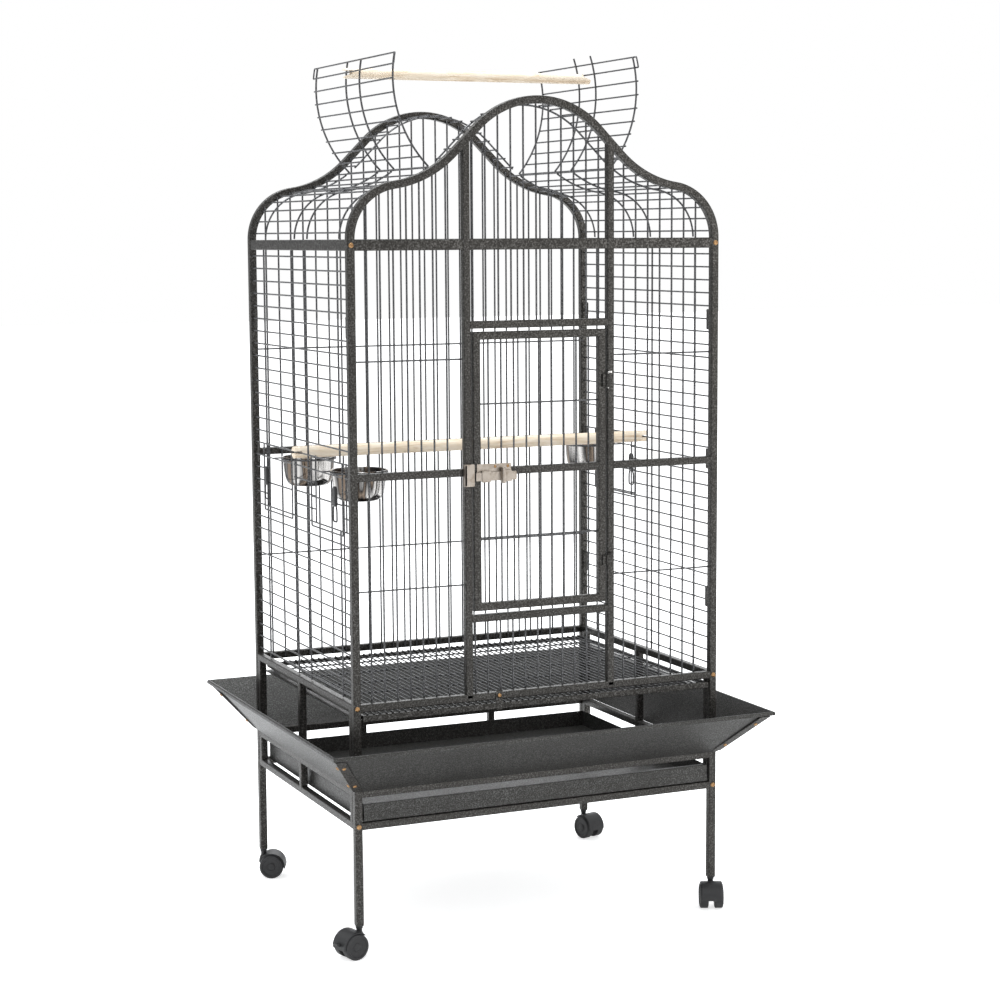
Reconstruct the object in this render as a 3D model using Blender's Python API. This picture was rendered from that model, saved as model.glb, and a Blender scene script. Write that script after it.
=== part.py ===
"""Bird cage on a rolling stand, with a play-top roof.

Metres, +Z up, +X to the right, the door faces -Y. The origin is on the floor under the middle of the cage.
Every sub-part is one object, and a moving piece has its origin on its joint's axis.
"""

import math

import bmesh
import bpy
import numpy as np
from mathutils import Matrix, Vector

# ---------------------------------------------------------------- driving dimensions
GAP = 0.0003                    # left between pieces that touch
TUBE = 0.0075                   # half the side of the square tube of posts, arches and legs
RAIL = 0.0072                   # the same for the rails welded to them
BAR = 0.004                     # thickness of a cage bar
WIRE = 0.0034                   # thickness of a panel wire
BAR_PITCH = 0.0262
WIRE_PITCH = 0.0254

HALF_W = 0.3775                 # post centres
HALF_D = 0.29
LEG_BOTTOM = 0.061
POST_TOP = 1.340                # where the arch starts to bend
SHOULDER_Z = 1.330
SHOULDER_HALF_HEIGHT = 0.010
SHOULDER_HALF_DEPTH = 0.006
LOWER_RAIL_Z = 0.250
BASE_RAIL_Z = 0.312
BOTTOM_RAIL_Z = 0.474
MIDDLE_RAIL_Z = 0.905
LOW_WIRE_Z = 0.690
HIGH_WIRE_Z = 1.117
SILL_Z = 0.626
HEADER_Z = 1.181
INNER_POST_X = 0.1495

# Arch: corner bend, hollow eave, straight, dome
CORNER_R = 0.100
EAVE_ANGLE = math.radians(8)
DOME_ANGLE = math.radians(45)
DOME_R = 0.176
DOME_Z = 1.422

# Bar panels, roof wires and the long rods of the side panels
BAR_PLANE_Y = HALF_D - TUBE - GAP - BAR / 2
ROOF_INSET = 0.0045             # roof wires below the arch's centre line
ROOF_END_Y = BAR_PLANE_Y - BAR / 2 - 0.0005
ROD_YS = (-0.2175, -0.0375, 0.0375, 0.2175)
BACK_BAR_PITCH = 0.0540
BAR_FOOT_Z = BOTTOM_RAIL_Z - 0.004
SIDE_PANEL_LOW_Z = 0.4825
HOOK_TAB_YS = (-0.270, 0.270)
HOOK_TAB_ZS = (1.180, 0.905, 0.628)

# Roof flaps
FLAP_HINGE_X = 0.1925
FLAP_HINGE_Z = 1.475
FLAP_CHORD = 0.2178
FLAP_SAGITTA = 0.027
FLAP_LEAN = {"left": math.radians(17.4), "right": math.radians(12.7)}
FLAP_RODS = 9
FLAP_TIP_STEP = 0.0202
FLAP_HALF_D = 0.2135
FLAP_LOOP_Y = 0.2235
HOOK_LENGTH = 0.021

# Perches
PERCH_Y = 0.015
TOP_PERCH_R = 0.0102
TOP_PERCH_Z = 1.6605
TOP_PERCH_PAST_ROD = 0.0125
INNER_PERCH_R = 0.01175
INNER_PERCH_HALF_LENGTH = 0.389
PANEL_WIRE_Z = 0.927            # the side wire that carries the inner perch

# Feeders: side, door centre along Y, and the side of the centre that the hinge is on
FEEDERS = {"left_front": (-1, -0.165, 1), "left_back": (-1, 0.125, -1), "right_back": (1, 0.140, 1)}
FEEDER_X = 0.3845
FEEDER_HALF_W = 0.089
FEEDER_LOW_Z = 0.792
FEEDER_HIGH_Z = 0.930
FEEDER_CUT_HALF_W = 0.085
FEEDER_CUT_LOW_Z = PANEL_WIRE_Z - 5 * WIRE_PITCH
CUP_X = 0.319
CUP_R = 0.0525
CUP_RIM_R = 0.055
CUP_RIM_Z = 0.907
CUP_DEPTH = 0.058
RING_WIRE = 0.0015
RING_R = 0.0547
RING_Z = 0.9028
RING_ARM_Y = 0.032
RING_ARM_R = 0.0013
LOCK_X = 0.3895
LOCK_Z = 0.865

# Front door
DOOR_HALF_W = 0.1385
DOOR_LOW_Z = 0.640
DOOR_HIGH_Z = 1.168
DOOR_WIRE_ZS = (0.778, 1.032)
DOOR_HINGE = Vector((0.1405, -0.303, 0))
HINGE_PIN_R = 0.002
HINGE_BORE_R = 0.0023
KNUCKLE_R = 0.0042
HINGE_PINS = {"lower": (0.709, 0.738), "upper": (1.054, 1.089)}
FRONT_FACE_Y = -HALF_D - TUBE

# Latch
BOLT_LOW = Vector((-0.137, FRONT_FACE_Y - 0.0066, 0.888))
BOLT_HIGH = Vector((-0.0532, FRONT_FACE_Y - 0.0026, 0.905))

# Bottom
BASE_TUBE_Y = 0.2748
BASE_MIDDLE_Y = 0.02
BASE_STUB_X = 0.15
LEDGE_INNER_X = 0.350
LEDGE_TOP_Z = 0.4475
TRAY_HALF_W = 0.366
TRAY_WALL = 0.0015
TRAY_LOW_Z = 0.2576
TRAY_HIGH_Z = 0.2915
TRAY_FRONT_Y = -0.2935
TRAY_BACK_Y = 0.270
GRATE_HALF_W = 0.366
GRATE_WIRE_Z = 0.462
GRATE_RAIL_LOW_Z = 0.4485
GRATE_RAIL_HIGH_Z = 0.4610
GRATE_PITCH = 6 * 0.0127
GRATE_WIRE = 0.003
GRATE_FRONT_Y = -HALF_D - 0.008
GRATE_BACK_Y = 0.276
TAB_X = -0.090
TAB_SCREW_Z = 0.475

# Skirts: bottom edge, top edge
SKIRT_LOW = Vector((0.3862, 0.2986, 0.318))
SKIRT_HIGH = Vector((0.4615, 0.398, 0.411))
SHEET = 0.0012
SKIRT_LIP = 0.0075
SEAM_GAP = 0.0006
BRACKET_WING = 0.019

# Casters: leg signs and the heading of each wheel behind its swivel
WHEEL_R = 0.025
WHEEL_INNER = 0.0065
WHEEL_OUTER = 0.0235
AXLE_R = 0.004
CASTER_TRAIL = 0.018
HOOD_INNER_R = 0.0262
HOOD_OUTER_R = 0.0285
HOOD_HALF_W = 0.0215
WEB_HALF_W = 0.0055
STEM_R = 0.0055
BRAKE_HALF_W = 0.008
HEADING_RIGHT = Vector((0.9136, -0.4066, 0))
HEADING_NEAR = Vector((-0.4066, -0.9136, 0))
CASTERS = {
    "front_left": (-1, -1, -0.80 * HEADING_RIGHT + 0.60 * HEADING_NEAR),
    "front_right": (1, -1, HEADING_NEAR.copy()),
    "back_left": (-1, 1, HEADING_RIGHT.copy()),
    "back_right": (1, 1, 0.62 * HEADING_RIGHT + 0.78 * HEADING_NEAR),
}

X = Vector((1, 0, 0))
Y = Vector((0, 1, 0))
Z = Vector((0, 0, 1))


# ---------------------------------------------------------------- materials
def finish(name, colour, roughness, metallic):
    material = bpy.data.materials.new(name)
    material.use_nodes = True
    shader = material.node_tree.nodes["Principled BSDF"]
    shader.inputs["Base Color"].default_value = (*colour, 1)
    shader.inputs["Roughness"].default_value = roughness
    shader.inputs["Metallic"].default_value = metallic
    return material


for startup_object in list(bpy.data.objects):
    bpy.data.objects.remove(startup_object)

HAMMERTONE = finish("hammertone", (0.075, 0.070, 0.066), 0.45, 0.35)
PINE = finish("pine", (0.78, 0.60, 0.42), 0.60, 0.0)
STEEL = finish("stainless", (0.62, 0.61, 0.60), 0.22, 1.0)
NICKEL = finish("nickel", (0.55, 0.51, 0.45), 0.40, 1.0)
BRASS = finish("brass", (0.66, 0.42, 0.20), 0.32, 1.0)
PLASTIC = finish("black_plastic", (0.022, 0.022, 0.023), 0.50, 0.0)


# ---------------------------------------------------------------- closed shapes, each (points, faces)
def sweep(path, normal, section, closed=False):
    """A section swept along a flat path; its points are (along the path's normal, across the path)."""
    path = [Vector(point) for point in path]
    points = []
    for i, point in enumerate(path):
        into = point - path[i - 1] if i or closed else path[1] - point
        onward = path[(i + 1) % len(path)] - point if i < len(path) - 1 or closed else into
        into, onward = into.normalized(), onward.normalized()
        tangent = (into + onward).normalized()
        across = tangent.cross(normal).normalized() / tangent.dot(into)
        points += [point + normal * a + across * b for a, b in section]
    size = len(section)
    spans = len(path) if closed else len(path) - 1
    faces = []
    for i in range(spans):
        here, there = i * size, (i + 1) % len(path) * size
        for k in range(size):
            m = (k + 1) % size
            faces.append([here + k, here + m, there + m, there + k])
    if not closed:
        faces += [list(range(size)), list(range(len(points) - size, len(points)))]
    return points, faces


def round_section(radius, sides=8):
    """A polygon as wide as the round it stands for, with a flat on each side."""
    corner = radius / math.cos(math.pi / sides)
    angles = [(k + 0.5) * math.tau / sides for k in range(sides)]
    return [(corner * math.cos(a), corner * math.sin(a)) for a in angles]


def rod(start, end, radius, sides=8):
    start, end = Vector(start), Vector(end)
    direction = (end - start).normalized()
    normal = (Y if abs(direction.y) < 0.9 else X).cross(direction).normalized()
    return sweep([start, end], normal, round_section(radius, sides))


def square(half):
    return [(half, half), (half, -half), (-half, -half), (-half, half)]


def beam(start, end, half):
    """A square bar along one axis."""
    return sweep([start, end], Y if abs(Vector(end).y - Vector(start).y) < half else Z, square(half))


def block(low, high):
    low, high = Vector(low), Vector(high)
    half = (high - low) / 2
    section = [(half.z, half.y), (half.z, -half.y), (-half.z, -half.y), (-half.z, half.y)]
    middle = (low + high) / 2
    return sweep([middle - X * half.x, middle + X * half.x], Z, section)


def prism(outline, direction):
    """A flat outline of points, extruded."""
    size = len(outline)
    points = [Vector(p) for p in outline] + [Vector(p) + direction for p in outline]
    sides = [[k, (k + 1) % size, (k + 1) % size + size, k + size] for k in range(size)]
    return points, [list(range(size)), list(range(size, 2 * size))] + sides


def turned(profile, centre, axis, sides, closed=False):
    """A profile of (radius, height) points turned round an axis, with a flat below if the axis is level."""
    axis = axis.normalized()
    up = (Z if abs(axis.z) < 0.9 else Y)
    side = axis.cross(up).normalized()
    up = side.cross(axis)
    points, rings = [], []
    for radius, height in profile:
        base = Vector(centre) + axis * height
        if radius < 1e-6:
            rings.append([len(points)] * sides)
            points.append(base)
            continue
        rings.append([len(points) + k for k in range(sides)])
        for k in range(sides):
            angle = (k + 0.5) * math.tau / sides
            points.append(base + (up * math.cos(angle) + side * math.sin(angle)) * radius)
    faces = []
    for i in range(len(rings) if closed else len(rings) - 1):
        here, there = rings[i], rings[(i + 1) % len(rings)]
        for k in range(sides):
            m = (k + 1) % sides
            loop = [here[k], here[m], there[m], there[k]]
            faces.append([p for n, p in enumerate(loop) if p != loop[n - 1]])
    return points, faces


def lattice(columns, rows, is_solid, place, thickness):
    """A grille in one body: the solid cells of a grid. place(u, v) gives a middle point and its normal."""
    points, faces, index = [], [], {}

    def corner(i, j, side):
        if (i, j, side) not in index:
            point, normal = place(columns[i], rows[j])
            index[i, j, side] = len(points)
            points.append(point + normal * (side * thickness / 2))
        return index[i, j, side]

    middles_u = [(a + b) / 2 for a, b in zip(columns, columns[1:])]
    middles_v = [(a + b) / 2 for a, b in zip(rows, rows[1:])]
    solid = [(i, j) for i, u in enumerate(middles_u) for j, v in enumerate(middles_v) if is_solid(u, v)]
    filled = set(solid)
    for i, j in solid:
        loop = [(i, j), (i + 1, j), (i + 1, j + 1), (i, j + 1)]
        for side in (-1, 1):
            faces.append([corner(a, b, side) for a, b in loop])
        for k, (di, dj) in enumerate(((0, -1), (1, 0), (0, 1), (-1, 0))):
            if (i + di, j + dj) not in filled:
                a, b = loop[k], loop[(k + 1) % 4]
                faces.append([corner(*a, -1), corner(*b, -1), corner(*b, 1), corner(*a, 1)])
    return points, faces


def strips(centres, width):
    """The two edges of each strip, in order."""
    return sorted(c + side * width / 2 for c in centres for side in (-1, 1))


def on_strip(value, centres, width):
    return any(abs(value - c) < width / 2 for c in centres)


def spaced(count, pitch, middle=0.0):
    return [middle + (k - (count - 1) / 2) * pitch for k in range(count)]


# ---------------------------------------------------------------- objects
def mesh_of(name, pieces, origin):
    mesh = bpy.data.meshes.new(name)
    points, faces = [], []
    for piece_points, piece_faces in pieces:
        faces += [[len(points) + k for k in face] for face in piece_faces]
        points += [Vector(p) - origin for p in piece_points]
    mesh.from_pydata(points, [], faces)
    work = bmesh.new()
    work.from_mesh(mesh)
    bmesh.ops.recalc_face_normals(work, faces=work.faces)
    work.to_mesh(mesh)
    work.free()
    return mesh


def make(name, pieces, material, origin=(0, 0, 0), cutters=(), smooth=True):
    """One object from overlapping closed pieces, less its cutters, with its origin on its joint's axis."""
    origin = Vector(origin)
    body = bpy.data.objects.new(name, mesh_of(name, pieces[:1], origin))
    body.location = origin
    bpy.context.scene.collection.objects.link(body)
    tools = []
    for operation, group in (("UNION", pieces[1:]), ("DIFFERENCE", cutters)):
        if not group:
            continue
        tool = bpy.data.objects.new(f"{name}_{operation.lower()}", mesh_of(name, group, origin))
        tool.location = origin
        bpy.context.scene.collection.objects.link(tool)
        modifier = body.modifiers.new(operation, "BOOLEAN")
        modifier.operation = operation
        modifier.solver = "EXACT"
        modifier.use_self = True
        modifier.object = tool
        tools.append(tool)
    if tools:
        bpy.context.view_layer.update()
        evaluated = body.evaluated_get(bpy.context.evaluated_depsgraph_get())
        merged = bpy.data.meshes.new_from_object(evaluated)
        body.modifiers.clear()
        body.data = merged
        for tool in tools:
            bpy.data.objects.remove(tool)
    body.data.materials.clear()
    body.data.materials.append(material)
    if smooth:
        body.data.shade_smooth()
        body.data.set_sharp_from_angle(angle=math.radians(35))
    return body


# ---------------------------------------------------------------- the arch
def arc(centre_x, centre_z, radius, start, end, count):
    """Points on an arc, angles from +Z towards +X."""
    angles = [start + (end - start) * k / count for k in range(count + 1)]
    return [(centre_x + radius * math.sin(a), centre_z + radius * math.cos(a)) for a in angles]


def half_arch(detail):
    """The right half of the arch's centre line as (x, z), from the apex to the top of the straight post."""
    dome = arc(0, DOME_Z, DOME_R, 0, DOME_ANGLE, 5 * detail)
    start_x, start_z = dome[-1]
    corner = arc(HALF_W - CORNER_R, POST_TOP, CORNER_R, EAVE_ANGLE, math.pi / 2, 5 * detail)
    eave_x, eave_z = corner[0]
    spread = (eave_x - start_x) - (start_z - eave_z)
    turn = (math.sin(DOME_ANGLE) - math.sin(EAVE_ANGLE)) - (math.cos(EAVE_ANGLE) - math.cos(DOME_ANGLE))
    hollow_r = spread / turn
    centre_x = eave_x + hollow_r * math.sin(EAVE_ANGLE)
    centre_z = eave_z + hollow_r * math.cos(EAVE_ANGLE)
    hollow = arc(centre_x, centre_z, -hollow_r, DOME_ANGLE, EAVE_ANGLE, 3 * detail)
    return dome + hollow[:-1] + corner


ARCH = half_arch(1)
FINE_ARCH = half_arch(8)
ARCH_XS = [x for x, _ in FINE_ARCH]
ARCH_ZS = [z for _, z in FINE_ARCH]
ARCH_RUNS = np.concatenate([[0], np.cumsum([math.dist(a, b) for a, b in zip(FINE_ARCH, FINE_ARCH[1:])])])


def arch_height(x):
    """The arch's centre line above x."""
    return float(np.interp(abs(x), ARCH_XS, ARCH_ZS))


def arch_at(run):
    """The arch's centre line at a distance along it from the apex."""
    return Vector((np.interp(run, ARCH_RUNS, ARCH_XS), 0, np.interp(run, ARCH_RUNS, ARCH_ZS)))


def roof_point(distance, y):
    """A point of the roof surface at a distance along the arch from its apex (negative on the left)."""
    span = abs(distance)
    step = 0.0005
    along = arch_at(span + step) - arch_at(max(0.0, span - step))
    out = Vector((-along.z, 0, along.x)).normalized()
    side = math.copysign(1, distance)
    point = arch_at(span) - out * ROOF_INSET
    return Vector((side * point.x, y, point.z)), Vector((side * out.x, 0, out.z))


HINGE_DISTANCE = float(np.interp(FLAP_HINGE_X, ARCH_XS, ARCH_RUNS))


# ---------------------------------------------------------------- frames
def frame_pieces(y, rails):
    """Legs, posts and arch in one bent tube at a depth y, and its level rails of half length HALF_W."""
    right = [(x, y, z) for x, z in ARCH] + [(HALF_W, y, LEG_BOTTOM)]
    left = [(-x, y, z) for x, _, z in reversed(right[1:])]
    pieces = [sweep(left + right, Y, square(TUBE))]
    pieces += [beam((-HALF_W, y, z), (HALF_W, y, z), RAIL) for z in rails]
    pieces.append(block((-HALF_W, y - SHOULDER_HALF_DEPTH, SHOULDER_Z - SHOULDER_HALF_HEIGHT),
                        (HALF_W, y + SHOULDER_HALF_DEPTH, SHOULDER_Z + SHOULDER_HALF_HEIGHT)))
    return pieces


def build_front_frame():
    y = -HALF_D
    pieces = frame_pieces(y, (LOWER_RAIL_Z, BASE_RAIL_Z, BOTTOM_RAIL_Z))
    for side in (-1, 1):
        inner = side * INNER_POST_X
        pieces.append(beam((inner, y, BOTTOM_RAIL_Z), (inner, y, arch_height(INNER_POST_X)), RAIL))
        pieces.append(beam((inner, y, MIDDLE_RAIL_Z), (side * HALF_W, y, MIDDLE_RAIL_Z), RAIL - 0.0002))
    for z in (SILL_Z, HEADER_Z):
        pieces.append(beam((-INNER_POST_X, y, z), (INNER_POST_X, y, z), RAIL - 0.0002))
    make("front_frame", pieces, HAMMERTONE)


def build_back_frame():
    y = HALF_D
    pieces = frame_pieces(y, (LOWER_RAIL_Z, BASE_RAIL_Z, BOTTOM_RAIL_Z, MIDDLE_RAIL_Z))
    for x in (-BASE_STUB_X, BASE_STUB_X):
        pieces.append(beam((x, y, LOWER_RAIL_Z), (x, y, BASE_RAIL_Z), RAIL - 0.0002))
    make("back_frame", pieces, HAMMERTONE)


def build_side_frames():
    """Three short uprights and three rails a side, a ledge that carries the grate, and the shoulder bar."""
    reach = BASE_TUBE_Y
    half = RAIL + 0.0001
    shoulder_end = HALF_D - TUBE - GAP
    for name, side in (("left", -1), ("right", 1)):
        x = side * HALF_W
        pieces = [beam((x, y, LOWER_RAIL_Z - half), (x, y, BOTTOM_RAIL_Z + half), half)
                  for y in (-reach, BASE_MIDDLE_Y, reach)]
        pieces += [beam((x, -reach, z), (x, reach, z), RAIL - 0.0001)
                   for z in (LOWER_RAIL_Z, BASE_RAIL_Z, BOTTOM_RAIL_Z)]
        inner, outer = sorted((side * LEDGE_INNER_X, side * (HALF_W - 0.004)))
        ledge_y = reach - 0.003
        pieces.append(block((inner, -ledge_y, LEDGE_TOP_Z - 0.002), (outer, ledge_y, LEDGE_TOP_Z)))
        make(f"base_side_{name}", pieces, HAMMERTONE)
        make(f"side_shoulder_bar_{name}",
             [block((x - SHOULDER_HALF_DEPTH, -shoulder_end, SHOULDER_Z - SHOULDER_HALF_HEIGHT),
                    (x + SHOULDER_HALF_DEPTH, shoulder_end, SHOULDER_Z + SHOULDER_HALF_HEIGHT))],
             HAMMERTONE)


# ---------------------------------------------------------------- bar panels
ARCH_TOP = 2.0                  # a row value that stands for the arch's height


def bar_panel(name, bars, low_z, ties, side, top=ARCH_TOP):
    """Upright bars behind a frame from low_z to the arch or to top, tied by level wires."""
    rows = sorted([low_z, top] + [z for z in strips(ties, WIRE) if low_z < z < top])
    y = side * BAR_PLANE_Y

    def place(x, v):
        return Vector((x, y, arch_height(x) if v == ARCH_TOP else v)), Y

    def is_solid(x, z):
        return on_strip(x, bars, BAR) or on_strip(z, ties, WIRE)

    make(name, [lattice(strips(bars, BAR), rows, is_solid, place, BAR)], HAMMERTONE, smooth=False)


def build_bar_panels():
    section_middle = (HALF_W + INNER_POST_X) / 2
    low = BAR_FOOT_Z
    for name, side in (("left", -1), ("right", 1)):
        bars = spaced(7, BAR_PITCH, side * section_middle)
        bar_panel(f"front_bars_{name}", bars, low, (BOTTOM_RAIL_Z, LOW_WIRE_Z, HIGH_WIRE_Z), -1)
    middle_bars = spaced(11, BAR_PITCH)
    bar_panel("front_bars_top", middle_bars, HEADER_Z - 0.004, (SHOULDER_Z,), -1)
    bar_panel("front_bars_bottom", middle_bars, low, (BOTTOM_RAIL_Z,), -1, SILL_Z + 0.004)
    back_bars = spaced(14, BACK_BAR_PITCH)
    bar_panel("back_bars", back_bars, low, (BOTTOM_RAIL_Z, LOW_WIRE_Z, HIGH_WIRE_Z), 1)


# ---------------------------------------------------------------- side panels and roof
def build_side_panels():
    low, high = SIDE_PANEL_LOW_Z, SHOULDER_Z - SHOULDER_HALF_HEIGHT - GAP
    end_y = HALF_D - TUBE - GAP
    wires = [PANEL_WIRE_Z + k * WIRE_PITCH for k in (-17, -12, -1, 5, 10, 15)]
    for name, side in (("left", -1), ("right", 1)):
        x = side * HALF_W
        cuts = [middle for feeder_side, middle, _ in FEEDERS.values() if feeder_side == side]
        cut_edges = [middle + s * FEEDER_CUT_HALF_W for middle in cuts for s in (-1, 1)]
        edge_wires = (FEEDER_CUT_LOW_Z, PANEL_WIRE_Z)

        def in_cut(y, z):
            inside_y = any(abs(y - middle) < FEEDER_CUT_HALF_W for middle in cuts)
            return inside_y and FEEDER_CUT_LOW_Z + WIRE / 2 < z < PANEL_WIRE_Z - WIRE / 2

        def is_solid(y, z):
            if in_cut(y, z) and not on_strip(y, cut_edges, WIRE):
                return False
            if on_strip(z, wires + list(edge_wires), WIRE):
                return True
            if on_strip(y, cut_edges, WIRE) and edge_wires[0] < z < edge_wires[1]:
                return True
            return on_strip(y, ROD_YS, BAR)

        columns = sorted({-end_y, end_y, *strips(ROD_YS, BAR), *strips(cut_edges, WIRE)})
        rows = sorted({low, high, *strips(wires, WIRE), *strips(edge_wires, WIRE)})
        grille = lattice(columns, rows, is_solid, lambda y, z: (Vector((x, y, z)), X), BAR)
        tabs = [block((x - 0.0012, y - 0.006, z - 0.020), (x + 0.0012, y + 0.006, z + 0.020))
                for y in HOOK_TAB_YS for z in HOOK_TAB_ZS]
        make(f"side_mesh_{name}", [grille] + tabs, HAMMERTONE, smooth=False)


def build_roof():
    start = HINGE_DISTANCE + 0.008
    end = ARCH_RUNS[-1] - 0.0015
    count = int((end - start) / WIRE_PITCH)
    wires = [start + WIRE / 2 + k * WIRE_PITCH for k in range(count + 1)]
    for name, side in (("left", -1), ("right", 1)):
        columns = sorted([-ROOF_END_Y, ROOF_END_Y] + strips(ROD_YS, BAR))
        rows = sorted([end] + strips(wires, WIRE))
        grille = lattice(
            columns, rows,
            lambda y, s: on_strip(y, ROD_YS, BAR) or on_strip(s, wires, WIRE),
            lambda y, s, side=side: roof_point(side * s, y), BAR)
        make(f"roof_mesh_{name}", [grille], HAMMERTONE, smooth=False)

    rungs = spaced(18, WIRE_PITCH)
    for name, side in (("front", -1), ("back", 1)):
        rail_y, outer_y = side * ROD_YS[-1], side * ROOF_END_Y
        inner, outer = sorted((rail_y - side * BAR / 2, rail_y + side * BAR / 2))
        columns = sorted([inner, outer, outer_y])
        rows = strips(rungs, WIRE)
        strip = lattice(
            columns, rows,
            lambda y, s, y0=rail_y: on_strip(y, [y0], BAR) or on_strip(s, rungs, WIRE),
            lambda y, s: roof_point(s, y), BAR)
        make(f"roof_strip_{name}", [strip], HAMMERTONE, smooth=False)


# ---------------------------------------------------------------- play-top flaps and perches
FLAP_R = (FLAP_CHORD ** 2 / 4 + FLAP_SAGITTA ** 2) / (2 * FLAP_SAGITTA)
FLAP_SPREAD = 2 * math.asin(FLAP_CHORD / 2 / FLAP_R)
FLAP_LENGTH = FLAP_R * FLAP_SPREAD
FLAP_PITCH = (FLAP_LENGTH - FLAP_TIP_STEP) / (FLAP_RODS - 1)


def flap_point(name, distance, y):
    """A point of a flap at a distance along its bend from the hinge, and the flap's outward normal."""
    side = -1 if name == "left" else 1
    lean = FLAP_LEAN[name]
    turn = FLAP_SPREAD / 2 - distance / FLAP_R
    angle = lean + turn             # from upright, outwards
    start = lean + FLAP_SPREAD / 2
    x = FLAP_HINGE_X + FLAP_R * (math.cos(angle) - math.cos(start))
    z = FLAP_HINGE_Z + FLAP_R * (math.sin(start) - math.sin(angle))
    return Vector((side * x, y, z)), Vector((side * math.cos(angle), 0, -math.sin(angle)))


def build_flaps():
    rods = [k * FLAP_PITCH for k in range(FLAP_RODS)] + [FLAP_LENGTH]
    long_ys = (-FLAP_HALF_D, -0.0375, 0.0375, FLAP_HALF_D)
    loop_ys = (-FLAP_LOOP_Y, FLAP_LOOP_Y)
    edge = FLAP_HALF_D + BAR / 2
    for name, side in (("left", -1), ("right", 1)):
        tip = FLAP_LENGTH + (HOOK_LENGTH if name == "right" else 0)
        rows = sorted({*strips(rods, WIRE), tip if name == "right" else FLAP_LENGTH + WIRE / 2})
        columns = sorted(strips(long_ys, BAR) + strips(loop_ys, WIRE))

        def is_solid(y, s):
            if s > FLAP_LENGTH + WIRE / 2:
                return on_strip(y, long_ys[1:3], BAR)
            if on_strip(s, rods, WIRE):
                return abs(y) < edge or s > rods[-2] - WIRE
            if on_strip(y, loop_ys, WIRE):
                return s > rods[-2]
            return on_strip(y, long_ys, BAR)

        grille = lattice(columns, rows, is_solid, lambda y, s: flap_point(name, s, y), BAR)
        make(f"roof_flap_{name}", [grille], HAMMERTONE,
             (side * FLAP_HINGE_X, 0, FLAP_HINGE_Z), smooth=False)


def build_top_perch():
    """A round perch between the flaps; a notch in each end holds a flap's rod and is open outwards."""
    ends, notches = [], []
    for name, side in (("left", -1), ("right", 1)):
        point, _ = flap_point(name, FLAP_PITCH * (FLAP_RODS - 1), PERCH_Y)
        ends.append(point.x + side * TOP_PERCH_PAST_ROD)
        inner = point.x - side * (BAR / 2 + 0.0010)
        mouth = point.x + side * (TOP_PERCH_PAST_ROD + 0.002)
        outline = [(inner, point.z + 0.0034), (mouth, point.z + 0.0034),
                   (mouth, point.z - 0.0098), (inner, point.z - 0.0032)]
        notches.append(prism([(x, PERCH_Y - 0.02, z) for x, z in outline], Y * 0.04))
    left, right = (Vector((x, PERCH_Y, TOP_PERCH_Z)) for x in ends)
    make("top_perch", [rod(left, right, TOP_PERCH_R, 14)], PINE, cutters=notches)


def build_inner_perch():
    """A round perch across the cage; a notch in each end sits on a wire of the side panels."""
    length = INNER_PERCH_HALF_LENGTH
    notches = []
    for side in (-1, 1):
        inner, outer = sorted((side * (HALF_W - 0.003), side * (HALF_W + 0.013)))
        notches.append(block((inner, PERCH_Y - 0.02, PANEL_WIRE_Z - 0.0026),
                             (outer, PERCH_Y + 0.02, PANEL_WIRE_Z + 0.0026)))
    make("inner_perch",
         [rod((-length, PERCH_Y, PANEL_WIRE_Z), (length, PERCH_Y, PANEL_WIRE_Z), INNER_PERCH_R, 14)],
         PINE, cutters=notches)


# ---------------------------------------------------------------- feeders
def build_feeders():
    for name, (side, middle, hinge_side) in FEEDERS.items():
        hinge = Vector((side * FEEDER_X, middle + hinge_side * FEEDER_HALF_W, 0))
        edges_y = [middle - FEEDER_HALF_W + WIRE / 2, middle + FEEDER_HALF_W - WIRE / 2]
        levels = [FEEDER_LOW_Z + WIRE / 2, FEEDER_LOW_Z + 0.010, FEEDER_CUT_LOW_Z + 2 * WIRE_PITCH,
                  FEEDER_HIGH_Z - WIRE / 2]
        grille = lattice(
            strips(edges_y, WIRE), strips(levels, WIRE),
            lambda y, z: on_strip(y, edges_y, WIRE) or on_strip(z, levels, WIRE),
            lambda y, z: (Vector((side * FEEDER_X, y, z)), X), 0.003)
        cup = Vector((side * CUP_X, middle, 0))
        ring = turned([(RING_R - RING_WIRE, -RING_WIRE), (RING_R + RING_WIRE, -RING_WIRE),
                       (RING_R + RING_WIRE, RING_WIRE), (RING_R - RING_WIRE, RING_WIRE)],
                      cup + Z * RING_Z, Z, 16, closed=True)
        carrier_z = RING_Z - 0.0002
        arms = []
        for y in (middle - RING_ARM_Y, middle + RING_ARM_Y):
            start = cup.x + side * math.sqrt(RING_R ** 2 - RING_ARM_Y ** 2)
            arms.append(rod((start, y, carrier_z), (side * FEEDER_X, y, carrier_z), RING_ARM_R, 6))
        carrier_ends = (Vector((side * FEEDER_X, y, carrier_z)) for y in edges_y)
        carrier = rod(*carrier_ends, RING_ARM_R, 6)
        make(f"feeder_door_{name}", [grille, ring, carrier] + arms, HAMMERTONE, hinge, smooth=False)

        low = CUP_RIM_Z - CUP_DEPTH
        profile = [(0, low), (0.034, low), (0.043, low + 0.006), (CUP_R - 0.003, low + 0.030),
                   (CUP_R, CUP_RIM_Z - 0.002), (CUP_RIM_R, CUP_RIM_Z - 0.0020), (CUP_RIM_R, CUP_RIM_Z),
                   (CUP_R - 0.001, CUP_RIM_Z), (CUP_R - 0.004, low + 0.030), (0.042, low + 0.007),
                   (0.0335, low + 0.001), (0, low + 0.001)]
        make(f"feeder_cup_{name}", [turned(profile, cup, Z, 16)], STEEL, cup)
        build_feeder_lock(name, side, middle - hinge_side * (FEEDER_HALF_W - 0.030))


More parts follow.
